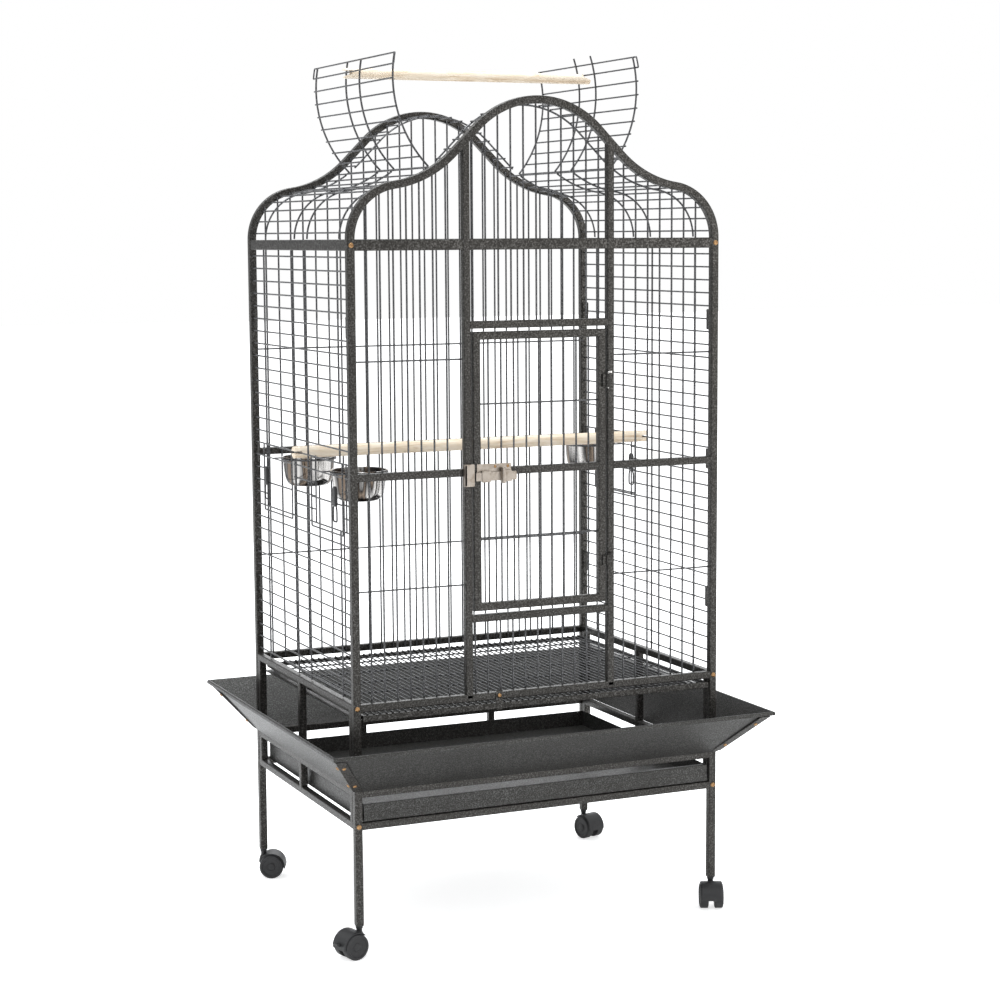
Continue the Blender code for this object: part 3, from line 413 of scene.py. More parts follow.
HAMMERTONE = hammertone("hammertone", (0.016, 0.015, 0.013), (0.040, 0.037, 0.033), (0.125, 0.121, 0.116),
                        330, 0.0005)
SHEET_METAL = hammertone("hammertone_sheet", (0.022, 0.021, 0.019), (0.042, 0.041, 0.038),
                         (0.120, 0.119, 0.117), 430, 0.0005)
WIRE_COAT = hammertone("hammertone_wire", (0.035, 0.035, 0.037), (0.085, 0.085, 0.088), (0.22, 0.22, 0.225),
                       480, 0.0004)
PINE = pine("pine", (0.88, 0.78, 0.65), (0.79, 0.66, 0.50), (0.60, 0.44, 0.29))
# The stainless colours are painted reflection bands (near-black, brown, bright), used on the feeder bowls and
# the door hinge pins.
STAINLESS = steel_painted_reflections("stainless", (0.035, 0.033, 0.032), (0.20, 0.155, 0.12), (0.62, 0.60, 0.58))
NICKEL = metal("nickel", (0.40, 0.355, 0.31), (0.22, 0.175, 0.135), 0.30, 500.0, (1, 6, 6), 0.8)
BRASS = metal("brass", (0.42, 0.25, 0.12), (0.22, 0.12, 0.06), 0.24, 600.0, (1, 1, 1), 0.7)
PLASTIC = moulded("black_plastic", (0.020, 0.020, 0.021), (0.045, 0.045, 0.047), 0.42)
PAPER = paper("paper")


# ---------------------------------------------------------------- closed skins, each (points, faces)
def loft(rings, looped=False):
    """Rings of equal size joined in order into one closed skin."""
    size = len(rings[0])
    points = [point for ring in rings for point in ring]
    faces = []
    for i in range(len(rings) if looped else len(rings) - 1):
        here, there = i * size, (i + 1) % len(rings) * size
        for k in range(size):
            m = (k + 1) % size
            faces.append([here + k, here + m, there + m, there + k])
    if not looped:
        faces += [list(range(size)), list(range(len(points) - size, len(points)))]
    return points, faces


def rounded(half_a, half_b, radius, steps=3):
    """The outline of a rounded rectangle as (a, b) pairs."""
    outline = []
    for quarter, (sign_a, sign_b) in enumerate(((1, 1), (-1, 1), (-1, -1), (1, -1))):
        for k in range(steps + 1):
            angle = (quarter + k / steps) * math.pi / 2
            outline.append((sign_a * (half_a - radius) + radius * math.cos(angle),
                            sign_b * (half_b - radius) + radius * math.sin(angle)))
    return outline


def circle(radius, sides):
    angles = [k * math.tau / sides for k in range(sides)]
    return [(radius * math.cos(a), radius * math.sin(a)) for a in angles]


def sweep(path, normal, section, closed=False):
    """A section swept along a flat path with mitred bends; its points are (along the normal, across)."""
    path = [Vector(point) for point in path]
    rings = []
    for i, point in enumerate(path):
        into = point - path[i - 1] if i or closed else path[1] - point
        onward = path[(i + 1) % len(path)] - point if i < len(path) - 1 or closed else into
        into, onward = into.normalized(), onward.normalized()
        tangent = (into + onward).normalized()
        across = tangent.cross(normal).normalized() / tangent.dot(into)
        rings.append([point + normal * a + across * b for a, b in section])
    return loft(rings, closed)


def beam(start, end, half, corner=TUBE_CORNER):
    """A straight square tube along one axis."""
    start, end = Vector(start), Vector(end)
    normal = Y if abs(end.y - start.y) < half else Z
    return sweep([start, end], normal, rounded(half, half, corner))


def wire(path, radius, sides=8, closed=False, tip=0.45):
    """A round wire along any path, with its cut ends a little rounded."""
    path = [Vector(point) for point in path]
    count = len(path)
    if not closed:
        inset = radius * tip
        path = [path[0], path[0] + (path[1] - path[0]).normalized() * inset, *path[1:-1],
                path[-1] + (path[-2] - path[-1]).normalized() * inset, path[-1]]
        count = len(path)
    normal = None
    rings = []
    for i, point in enumerate(path):
        before = path[i - 1] if i or closed else point
        after = path[(i + 1) % count] if i < count - 1 or closed else point
        tangent = (after - before).normalized()
        if normal is None:
            normal = tangent.orthogonal().normalized()
        normal = (normal - tangent * normal.dot(tangent)).normalized()
        other = tangent.cross(normal)
        reach = radius * 0.6 if not closed and i in (0, count - 1) else radius
        rings.append([point + (normal * a + other * b) * reach for a, b in circle(1.0, sides)])
    return loft(rings, closed)


def turned(profile, centre, axis, sides=32, looped=False):
    """A profile of (radius, height) points turned round an axis through a centre."""
    axis = Vector(axis).normalized()
    side = axis.orthogonal().normalized()
    up = axis.cross(side)
    rings = []
    for radius, height in profile:
        rings.append([Vector(centre) + axis * height + side * a + up * b for a, b in circle(radius, sides)])
    return loft(rings, looped)


def slab(low, high, thin="Y", corner=0.0015, edge=0.0006, steps=3):
    """A plate with rounded corners and softened rims; thin names its thin direction."""
    low, high = Vector(low), Vector(high)
    middle, half = (low + high) / 2, (high - low) / 2
    u, v, w = {"X": (1, 2, 0), "Y": (0, 2, 1), "Z": (0, 1, 2)}[thin]
    corner = min(corner, half[u] * 0.98, half[v] * 0.98)
    edge = min(edge, half[w] * 0.9, corner * 0.9)
    rings = []
    for level, inset in ((-half[w], edge), (-half[w] + edge, 0), (half[w] - edge, 0), (half[w], edge)):
        ring = []
        for a, b in rounded(half[u] - inset, half[v] - inset, corner - inset, steps):
            point = middle.copy()
            point[u] += a
            point[v] += b
            point[w] += level
            ring.append(point)
        rings.append(ring)
    return loft(rings)


def screw_head(at, out, radius, height):
    """A pan head with a dished middle, where a cross recess would be too small to see."""
    shape = ((1, 0), (1, 0.25), (0.93, 0.55), (0.75, 0.85), (0.48, 1), (0.34, 0.98), (0.26, 0.55),
             (0.05, 0.5))
    return turned([(radius * a, height * b) for a, b in shape], at, out, 20)


# ---------------------------------------------------------------- pieces
SMOOTH_BELOW = math.radians(52)


def object_of(name, skins):
    """One object of closed skins, with its faces pointing out."""
    points, faces = [], []
    for skin_points, skin_faces in skins:
        faces += [[len(points) + k for k in face] for face in skin_faces]
        points += skin_points
    mesh = bpy.data.meshes.new(name)
    mesh.from_pydata(points, [], faces)
    work = bmesh.new()
    work.from_mesh(mesh)
    bmesh.ops.recalc_face_normals(work, faces=work.faces)
    work.to_mesh(mesh)
    work.free()
    made = bpy.data.objects.new(name, mesh)
    bpy.context.scene.collection.objects.link(made)
    return made


def piece(name, skins, material, body, replaced=()):
    """One object from closed skins, riding on a CAD body and standing for the CAD nodes named."""
    made = object_of(name, skins)
    made.data.shade_smooth()
    made.data.set_sharp_from_angle(angle=SMOOTH_BELOW)
    shading = made.modifiers.new("even_shading", "WEIGHTED_NORMAL")
    shading.keep_sharp = True
    made.data.materials.clear()
    made.data.materials.append(material)
    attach(made, body)
    if replaced:
        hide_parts(*replaced)
    return made


def cut(made, skins):
    """Cuts closed skins out of a piece."""
    tool = object_of("cutter", skins)
    notch = made.modifiers.new("cut", "BOOLEAN")
    notch.object = tool
    notch.solver = "EXACT"
    made.modifiers.move(len(made.modifiers) - 1, 0)
    evaluated = made.evaluated_get(bpy.context.evaluated_depsgraph_get())
    made.data = bpy.data.meshes.new_from_object(evaluated)
    made.modifiers.clear()
    made.data.set_sharp_from_angle(angle=SMOOTH_BELOW)
    bpy.data.objects.remove(tool)


# ---------------------------------------------------------------- the arch
def arc(centre_x, centre_z, radius, start, end, count):
    """Points on an arc, angles from +Z towards +X."""
    angles = [start + (end - start) * k / count for k in range(count + 1)]
    return [(centre_x + radius * math.sin(a), centre_z + radius * math.cos(a)) for a in angles]


def half_arch(detail):
    """The right half of the arch's centre line as (x, z), from the apex to the top of the straight post."""
    dome = arc(0, DOME_Z, DOME_R, 0, DOME_ANGLE, 5 * detail)
    start_x, start_z = dome[-1]
    corner = arc(HALF_W - CORNER_R, POST_TOP, CORNER_R, EAVE_ANGLE, math.pi / 2, 5 * detail)
    eave_x, eave_z = corner[0]
    spread = (eave_x - start_x) - (start_z - eave_z)
    turn = (math.sin(DOME_ANGLE) - math.sin(EAVE_ANGLE)) - (math.cos(EAVE_ANGLE) - math.cos(DOME_ANGLE))
    hollow_r = spread / turn
    centre_x = eave_x + hollow_r * math.sin(EAVE_ANGLE)
    centre_z = eave_z + hollow_r * math.cos(EAVE_ANGLE)
    hollow = arc(centre_x, centre_z, -hollow_r, DOME_ANGLE, EAVE_ANGLE, 3 * detail)
    return dome + hollow[:-1] + corner


ARCH = half_arch(4)
FINE_ARCH = half_arch(16)
ARCH_XS = [p[0] for p in FINE_ARCH]
ARCH_ZS = [p[1] for p in FINE_ARCH]
ARCH_RUN = np.concatenate([[0], np.cumsum([math.dist(a, b) for a, b in zip(FINE_ARCH, FINE_ARCH[1:])])])
HINGE_RUN = float(np.interp(FLAP_HINGE_X, ARCH_XS, ARCH_RUN))


def arch_height(x):
    return float(np.interp(abs(x), ARCH_XS, ARCH_ZS))


def roof_point(run, y, lift=0.0):
    """A point of the roof at a run along the arch from its apex (negative on the left), lifted outwards."""
    span = abs(run)
    step = 0.0005
    low, high = max(0.0, span - step), span + step
    dx = np.interp(high, ARCH_RUN, ARCH_XS) - np.interp(low, ARCH_RUN, ARCH_XS)
    dz = np.interp(high, ARCH_RUN, ARCH_ZS) - np.interp(low, ARCH_RUN, ARCH_ZS)
    out = Vector((-dz, 0, dx)).normalized()
    side = math.copysign(1, run)
    point = Vector((np.interp(span, ARCH_RUN, ARCH_XS), 0, np.interp(span, ARCH_RUN, ARCH_ZS)))
    point += out * (lift - ROOF_INSET)
    return Vector((side * point.x, y, point.z))


# ---------------------------------------------------------------- frames
def bent_frame(y):
    """Both legs, both posts and the arch, in one bent tube."""
    right = [(x, y, z) for x, z in ARCH] + [(HALF_W, y, LEG_BOTTOM)]
    left = [(-x, y, z) for x, _, z in reversed(right[1:])]
    return sweep(left + right, Y, rounded(TUBE, TUBE, TUBE_CORNER))


def cross_rail(y, z, left, right, half=RAIL):
    return beam((left, y, z), (right, y, z), half)


def shoulder_bar(y):
    reach = HALF_W - TUBE + 0.001
    return slab((-reach, y - SHOULDER_HALF_DEPTH, SHOULDER_LOW_Z),
                (reach, y + SHOULDER_HALF_DEPTH, SHOULDER_HIGH_Z), "X", 0.0018, 0.0004)


def build_front_frame():
    y = -HALF_D
    post = HALF_W - TUBE + 0.0008
    inner = INNER_POST_X - RAIL + 0.0008
    skins = [bent_frame(y), shoulder_bar(y)]
    skins += [cross_rail(y, z, -post, post) for z in (LOWER_RAIL_Z, BASE_RAIL_Z, BOTTOM_RAIL_Z)]
    skins += [cross_rail(y, z, -inner, inner) for z in (SILL_Z, HEADER_Z)]
    for side in (-1, 1):
        x = side * INNER_POST_X
        skins.append(beam((x, y, BOTTOM_RAIL_Z), (x, y, arch_height(x) - TUBE * 0.4), RAIL))
        ends = sorted((side * (INNER_POST_X + RAIL - 0.0008), side * post))
        skins.append(cross_rail(y, MIDDLE_RAIL_Z, *ends))
    piece("front_frame_tubes", skins, HAMMERTONE, "cage", ["front_frame"])


def build_back_frame():
    y = HALF_D
    post = HALF_W - TUBE + 0.0008
    levels = (LOWER_RAIL_Z, BASE_RAIL_Z, BOTTOM_RAIL_Z, MIDDLE_RAIL_Z)
    skins = [bent_frame(y), shoulder_bar(y)] + [cross_rail(y, z, -post, post) for z in levels]
    skins += [beam((x, y, LOWER_RAIL_Z), (x, y, BASE_RAIL_Z), RAIL - 0.0002) for x in (-0.15, 0.15)]
    piece("back_frame_tubes", skins, HAMMERTONE, "cage", ["back_frame"])


def build_side_frames():
    reach = BASE_TUBE_Y
    shoulder_end = HALF_D - TUBE
    for name, side in (("left", -1), ("right", 1)):
        x = side * HALF_W
        skins = [beam((x, y, LOWER_RAIL_Z), (x, y, BOTTOM_RAIL_Z), RAIL)
                 for y in (-reach, BASE_MIDDLE_Y, reach)]
        skins += [beam((x, -reach - RAIL, z), (x, reach + RAIL, z), RAIL - 0.0001)
                  for z in (LOWER_RAIL_Z, BASE_RAIL_Z, BOTTOM_RAIL_Z)]
        inner, outer = sorted((side * 0.350, side * (HALF_W - 0.004)))
        skins.append(slab((inner, -reach + 0.003, 0.4455), (outer, reach - 0.003, 0.4475), "Z", 0.002))
        piece(f"base_side_tubes_{name}", skins, HAMMERTONE, "cage", [f"base_side_{name}"])
        bar = slab((x - SHOULDER_HALF_DEPTH, -shoulder_end, SHOULDER_LOW_Z),
                   (x + SHOULDER_HALF_DEPTH, shoulder_end, SHOULDER_HIGH_Z), "Y", 0.0018, 0.0004)
        piece(f"shoulder_bar_{name}", [bar], HAMMERTONE, "cage", [f"side_shoulder_bar_{name}"])


def build_leg_plugs():
    """Plastic inserts in the open ends of the legs."""
    for name, (side_x, side_y) in CORNERS.items():
        x, y = side_x * HALF_W, side_y * HALF_D
        half = TUBE - 0.0004
        low, high = (x - half, y - half, LEG_BOTTOM - 0.0022), (x + half, y + half, LEG_BOTTOM + 0.004)
        piece(f"leg_plug_{name}", [slab(low, high, "Z", 0.0018)], PLASTIC, "cage")


# ---------------------------------------------------------------- bars and wires
def spaced(count, pitch, middle=0.0):
    return [middle + (k - (count - 1) / 2) * pitch for k in range(count)]


def upright(x, y, low, high=None):
    top = arch_height(x) - 0.002 if high is None else high
    return wire([(x, y, low), (x, y, top)], BAR_R)


def build_bars():
    y = -BAR_PLANE_Y
    low = BOTTOM_RAIL_Z - 0.004
    section = (HALF_W + INNER_POST_X) / 2
    level_y = y + BAR_R * 0.7
    for name, side in (("left", -1), ("right", 1)):
        skins = [upright(x, y, low) for x in spaced(7, BAR_PITCH, side * section)]
        ends = [side * (INNER_POST_X - 0.004), side * (HALF_W - 0.004)]
        skins += [wire([(x, level_y, z) for x in ends], WIRE_R) for z in TIE_WIRE_ZS]
        piece(f"front_bars_round_{name}", skins, WIRE_COAT, "cage", [f"front_bars_{name}"])
    middle = spaced(11, BAR_PITCH)
    top_bars = [upright(x, y, HEADER_Z - 0.004) for x in middle]
    piece("front_bars_round_top", top_bars, WIRE_COAT, "cage", ["front_bars_top"])
    bottom_bars = [upright(x, y, low, SILL_Z + 0.004) for x in middle]
    piece("front_bars_round_bottom", bottom_bars, WIRE_COAT, "cage", ["front_bars_bottom"])
    skins = [upright(x, BAR_PLANE_Y, low) for x in spaced(27, BACK_BAR_PITCH)]
    reach = HALF_W - 0.004
    level_y = BAR_PLANE_Y - BAR_R * 0.7
    skins += [wire([(x, level_y, z) for x in (-reach, reach)], WIRE_R) for z in TIE_WIRE_ZS]
    piece("back_bars_round", skins, WIRE_COAT, "cage", ["back_bars"])


def broken(low, high, gaps):
    """The stretches of low..high outside the gaps."""
    stretches, start = [], low
    for gap_low, gap_high in sorted(gaps):
        if gap_low > start:
            stretches.append((start, gap_low))
        start = max(start, gap_high)
    if start < high:
        stretches.append((start, high))
    return stretches


def build_side_panels():
    low, high = 0.4825, SHOULDER_LOW_Z
    end_y = HALF_D - TUBE
    for name, side in (("left", -1), ("right", 1)):
        outer, inner = side * (HALF_W + WELD_STEP), side * (HALF_W - WELD_STEP)
        cuts = [(middle - FEEDER_CUT_HALF_W, middle + FEEDER_CUT_HALF_W)
                for feeder_side, middle, _ in FEEDERS.values() if feeder_side == side]
        skins = []
        for k in range(-17, 16):
            z = PANEL_WIRE_Z + k * WIRE_PITCH
            gaps = cuts if -5 < k < 0 else []
            skins += [wire([(outer, a, z), (outer, b, z)], WIRE_R) for a, b in broken(-end_y, end_y, gaps)]
        for y in ROD_YS:
            in_cut = any(a < y < b for a, b in cuts)
            gaps = [(FEEDER_CUT_LOW_Z, PANEL_WIRE_Z)] if in_cut else []
            skins += [wire([(inner, y, a), (inner, y, b)], BAR_R) for a, b in broken(low, high, gaps)]
        skins += [wire([(inner, y, FEEDER_CUT_LOW_Z - 0.002), (inner, y, PANEL_WIRE_Z + 0.002)], WIRE_R)
                  for pair in cuts for y in pair]
        piece(f"side_wires_{name}", skins, WIRE_COAT, "cage", [f"side_mesh_{name}"])
        tabs = []
        for y in (-HOOK_TAB_Y, HOOK_TAB_Y):
            for z in HOOK_TAB_ZS:
                at = Vector((side * HALF_W, y, z))
                tabs.append(slab(at - HOOK_TAB_HALF, at + HOOK_TAB_HALF, "X", 0.003, 0.0005))
        piece(f"hook_tabs_{name}", tabs, HAMMERTONE, "cage")


def build_roof():
    start = HINGE_RUN + 0.008
    end = float(ARCH_RUN[-1]) - 0.0015
    for name, side in (("left", -1), ("right", 1)):
        count = int((end - start) / WIRE_PITCH)
        runs = [start + WIRE_R + k * WIRE_PITCH for k in range(count + 1)]
        skins = []
        for run in runs:
            skins.append(wire([roof_point(side * run, -ROOF_END_Y, WELD_STEP),
                               roof_point(side * run, ROOF_END_Y, WELD_STEP)], WIRE_R))
        for y in ROD_YS:
            path = [roof_point(side * run, y, -WELD_STEP) for run in np.linspace(start, end, 36)]
            skins.append(wire(path, BAR_R))
        piece(f"roof_wires_{name}", skins, WIRE_COAT, "cage", [f"roof_mesh_{name}"])
    for name, side in (("front", -1), ("back", 1)):
        rail_y = side * ROD_YS[3]
        rungs = spaced(18, WIRE_PITCH)
        skins = [wire([roof_point(run, rail_y - side * 0.003, WELD_STEP),
                       roof_point(run, side * ROOF_END_Y, WELD_STEP)], WIRE_R) for run in rungs]
        runs = np.linspace(rungs[0] - 0.003, rungs[-1] + 0.003, 48)
        skins.append(wire([roof_point(run, rail_y, -WELD_STEP) for run in runs], BAR_R))
        piece(f"roof_rungs_{name}", skins, WIRE_COAT, "cage", [f"roof_strip_{name}"])


# ---------------------------------------------------------------- play-top flaps and perches
FLAP_R = (FLAP_CHORD ** 2 / 4 + FLAP_SAGITTA ** 2) / (2 * FLAP_SAGITTA)
FLAP_SPREAD = 2 * math.asin(FLAP_CHORD / 2 / FLAP_R)
FLAP_LENGTH = FLAP_R * FLAP_SPREAD
FLAP_PITCH = (FLAP_LENGTH - FLAP_TIP_STEP) / (FLAP_RODS - 1)


def flap_point(name, run, y, lift=0.0):
    """A point of a flap at a distance along its bend from the hinge, lifted outwards."""
    side = -1 if name == "left" else 1
    angle = FLAP_LEAN[name] + FLAP_SPREAD / 2 - run / FLAP_R
    start = FLAP_LEAN[name] + FLAP_SPREAD / 2
    x = FLAP_HINGE_X + FLAP_R * (math.cos(angle) - math.cos(start)) + lift * math.cos(angle)
    z = FLAP_HINGE_Z + FLAP_R * (math.sin(start) - math.sin(angle)) - lift * math.sin(angle)
    return Vector((side * x, y, z))


def build_flaps():
    rods = [k * FLAP_PITCH for k in range(FLAP_RODS)] + [FLAP_LENGTH]
    for name in ("left", "right"):
        skins = []
        for number, run in enumerate(rods):
            reach = FLAP_LOOP_Y if number >= FLAP_RODS - 1 else FLAP_HALF_D + 0.003
            skins.append(wire([flap_point(name, run, y, WELD_STEP) for y in (-reach, reach)], WIRE_R))
        for y in (-FLAP_HALF_D, -0.0375, 0.0375, FLAP_HALF_D):
            hooked = name == "right" and abs(y) < 0.1
            top = FLAP_LENGTH + (HOOK_LENGTH - 0.004 if hooked else 0.0005)
            path = [flap_point(name, run, y, -WELD_STEP) for run in np.linspace(-0.0015, top, 24)]
            skins.append(wire(path, BAR_R))
        for y in (-FLAP_LOOP_Y, FLAP_LOOP_Y):
            path = [flap_point(name, run, y, WELD_STEP) for run in np.linspace(rods[-2], rods[-1], 5)]
            skins.append(wire(path, WIRE_R))
        piece(f"flap_wires_{name}", skins, WIRE_COAT, f"roof_flap_{name}", [f"roof_flap_{name}"])


def dowel(half_length, middle_x, z, radius):
    """A turned wooden rod along X with eased ends."""
    ease = 0.0012
    profile = [(radius - ease, -half_length), (radius - ease * 0.3, -half_length + ease * 0.4),
               (radius, -half_length + ease)]
    profile += [(radius, height) for height in np.linspace(-half_length + 0.02, half_length - 0.02, 24)]
    profile += [(radius, half_length - ease), (radius - ease * 0.3, half_length - ease * 0.4),
                (radius - ease, half_length)]
    return turned(profile, (middle_x, PERCH_Y, z), X, 40)


def build_perches():
    ends, notches = [], []
    for name, side in (("left", -1), ("right", 1)):
        point = flap_point(name, FLAP_PITCH * (FLAP_RODS - 1), PERCH_Y)
        ends.append(point.x + side * TOP_PERCH_PAST_ROD)
        inner = point.x - side * 0.0030
        mouth = point.x + side * (TOP_PERCH_PAST_ROD + 0.004)
        outline = [(inner, point.z + 0.0034), (mouth, point.z + 0.0034),
                   (mouth, point.z - 0.0108), (inner, point.z - 0.0032)]
        rings = [[Vector((x, PERCH_Y + y, z)) for x, z in outline] for y in (-0.02, 0.02)]
        notches.append(loft(rings))
    middle_x, half = (ends[0] + ends[1]) / 2, (ends[1] - ends[0]) / 2
    rod = dowel(half, middle_x, TOP_PERCH_Z, TOP_PERCH_R)
    perch = piece("top_perch_dowel", [rod], PINE, "cage", ["top_perch"])
    cut(perch, notches)
    notches = []
    for side in (-1, 1):
        ends = sorted((side * (HALF_W - 0.003), side * (HALF_W + 0.013)))
        notches.append(slab((ends[0], PERCH_Y - 0.02, PANEL_WIRE_Z - 0.0026),
                            (ends[1], PERCH_Y + 0.02, PANEL_WIRE_Z + 0.0026), "Y", 0.0008, 0.0002))
    rod = dowel(INNER_PERCH_HALF_LENGTH, 0, PANEL_WIRE_Z, INNER_PERCH_R)
    perch = piece("inner_perch_dowel", [rod], PINE, "cage", ["inner_perch"])
    cut(perch, notches)


# ---------------------------------------------------------------- feeders
def build_feeders():
    for name, (side, middle, hinge_side) in FEEDERS.items():
        x = side * FEEDER_X
        edges = [middle - FEEDER_HALF_W + WIRE_R, middle + FEEDER_HALF_W - WIRE_R]
        low, high = FEEDER_LOW_Z + WIRE_R, FEEDER_HIGH_Z - WIRE_R
        loop = [(x, edges[0], low), (x, edges[1], low), (x, edges[1], high), (x, edges[0], high)]
        skins = [wire(rounded_loop(loop, 0.004), WIRE_R, closed=True)]
        for z in (FEEDER_LOW_Z + 0.010, FEEDER_CUT_LOW_Z + 2 * WIRE_PITCH):
            skins.append(wire([(x, edges[0], z), (x, edges[1], z)], WIRE_R))
        cup = Vector((side * CUP_X, middle, 0))
        ring = [(RING_R + RING_WIRE * a, RING_WIRE * b) for a, b in circle(1.0, 8)]
        skins.append(turned(ring, cup + Z * RING_Z, Z, 40, looped=True))
        carrier_z = RING_Z - 0.0002
        for y in (middle - 0.032, middle + 0.032):
            start = cup.x + side * math.sqrt(RING_R ** 2 - 0.032 ** 2)
            skins.append(wire([(start, y, carrier_z), (x, y, carrier_z)], 0.0014))
        skins.append(wire([(x, edges[0], carrier_z), (x, edges[1], carrier_z)], 0.0014))
        piece(f"feeder_frame_{name}", skins, WIRE_COAT, f"feeder_door_{name}", [f"feeder_door_{name}"])
        build_cup(name, cup)
        build_feeder_lock(name, side, middle - hinge_side * (FEEDER_HALF_W - 0.030))


def rounded_loop(corners, radius, steps=4):
    """A closed loop of corners with each one rounded."""
    corners = [Vector(c) for c in corners]
    path = []
    for i, corner in enumerate(corners):
        into = (corners[i - 1] - corner).normalized()
        onward = (corners[(i + 1) % len(corners)] - corner).normalized()
        for k in range(steps + 1):
            share = k / steps
            path.append(corner + into * radius * (1 - share) ** 2 + onward * radius * share ** 2)
    return path


def build_cup(name, cup):
    """A drawn steel bowl with a flat rim; heights are above its foot."""
    top = CUP_DEPTH
    outside = [(0.002, 0.0006), (0.030, 0.0004), (0.0335, 0), (0.037, 0.0006), (0.0415, 0.0035),
               (0.0450, 0.0085), (0.0478, 0.016), (0.0497, 0.028), (CUP_R - 0.0012, 0.044),
               (CUP_R - 0.0006, top - 0.0035), (CUP_R, top - 0.0022)]
    rim = [(CUP_RIM_R - 0.0006, top - 0.0020), (CUP_RIM_R, top - 0.0012), (CUP_RIM_R - 0.0005, top - 0.0003),
           (CUP_RIM_R - 0.0014, top)]
    inside = [(CUP_R - 0.0012, top - 0.0008), (CUP_R - 0.0018, top - 0.004), (0.0500, 0.044), (0.0485, 0.028),
              (0.0466, 0.017), (0.0438, 0.0095), (0.0402, 0.0046), (0.036, 0.0018), (0.030, 0.0014),
              (0.002, 0.0014)]
    bowl = turned(outside + rim + inside, cup + Z * (CUP_RIM_Z - CUP_DEPTH), Z, 56)
    body = f"feeder_cup_{name}"
    piece(f"feeder_bowl_{name}", [bowl], STAINLESS, body, [body])


def build_feeder_lock(name, side, y):
    """A flat swivelling knob on the outside of a feeder door, with a hanging wire loop."""
    near, far = side * (FEEDER_X + 0.0020), side * (FEEDER_X + 0.0080)
    half = [(0.0052, -0.018), (0.0070, -0.0160), (0.0070, 0.0115), (0.0058, 0.0160), (0.0036, 0.0190)]
    outline = half + [(-a, b) for a, b in reversed(half)]
    depth = far - near
    levels = ((near, 0.93), (near + depth * 0.14, 1.0), (near + depth * 0.80, 1.0), (far, 0.86))
    knob = loft([[Vector((x, y + a * size, LOCK_Z + b * size)) for a, b in outline] for x, size in levels])
    boss = turned([(0.0042, 0), (0.0042, 0.0006), (0.0030, 0.0010), (0.0005, 0.0011)],
                  (far - side * 0.0008, y, LOCK_Z), X * side, 20)
    x = (near + far) / 2
    loop = [(x, y + a, LOCK_Z + b) for a, b in ((-0.004, -0.014), (-0.010, -0.024), (-0.010, -0.0469),
                                                (0.010, -0.0469), (0.010, -0.024), (0.004, -0.014))]
    handle = wire(rounded_loop(loop, 0.005), 0.0016, closed=True)
    body = f"feeder_lock_{name}"
    piece(f"feeder_knob_{name}", [knob, boss, handle], PLASTIC, body, [body])


# ---------------------------------------------------------------- front door and latch
def build_front_door():
    y = -HALF_D
    edge = DOOR_HALF_W - TUBE
    low, high = DOOR_LOW_Z + TUBE, DOOR_HIGH_Z - TUBE
    outline = [(-edge, y, low), (edge, y, low), (edge, y, high), (-edge, y, high)]
    skins = [sweep(outline, Y, rounded(TUBE, TUBE, TUBE_CORNER), closed=True),
             cross_rail(y, MIDDLE_RAIL_Z, -edge + TUBE - 0.0008, edge - TUBE + 0.0008)]
    for pin_low, pin_high in HINGE_PINS.values():
        low_z, high_z = pin_low + 0.002, pin_high - 0.006
        bore = HINGE_PIN_R + 0.0003
        knuckle = [(bore, low_z), (KNUCKLE_R - 0.0006, low_z), (KNUCKLE_R, low_z + 0.0006),
                   (KNUCKLE_R, high_z - 0.0006), (KNUCKLE_R - 0.0006, high_z), (bore, high_z)]
        skins.append(turned(knuckle, DOOR_HINGE, Z, 24, looped=True))
        leaf_low = (edge - 0.001, FRONT_FACE_Y - 0.0045, low_z + 0.0006)
        leaf_high = (DOOR_HINGE.x - 0.0030, FRONT_FACE_Y + 0.001, high_z - 0.0006)
        skins.append(slab(leaf_low, leaf_high, "X", 0.0012, 0.0004))
    piece("front_door_frame", skins, HAMMERTONE, "front_door", ["front_door"])
    inner = low + TUBE - 0.002, high - TUBE + 0.002
    bars = [wire([(x, y + 0.0008, z) for z in inner], BAR_R) for x in spaced(9, BAR_PITCH)]
    reach = edge - TUBE + 0.002
    bars += [wire([(-reach, y + 0.0032, z), (reach, y + 0.0032, z)], WIRE_R) for z in DOOR_WIRE_ZS]
    piece("front_door_bars", bars, WIRE_COAT, "front_door")


def build_hinge_pins():
    for name, (low, high) in HINGE_PINS.items():
        bend_z = high - 0.0035
        post_y = -HALF_D - RAIL
        path = [DOOR_HINGE + Z * low, DOOR_HINGE + Z * (bend_z - 0.0025),
                DOOR_HINGE + Z * (bend_z - 0.0008) + X * 0.0006, DOOR_HINGE + Z * bend_z + X * 0.0025,
                Vector((INNER_POST_X - 0.0032, DOOR_HINGE.y, bend_z))]
        skins = [wire(path, HINGE_PIN_R, 12),
                 slab((INNER_POST_X - 0.0050, DOOR_HINGE.y - 0.0010, bend_z - 0.0022),
                      (INNER_POST_X - 0.0010, post_y, bend_z + 0.0022), "Y", 0.0012)]
        piece(f"door_hinge_wire_{name}", skins, STAINLESS, "cage", [f"door_hinge_pin_{name}"])


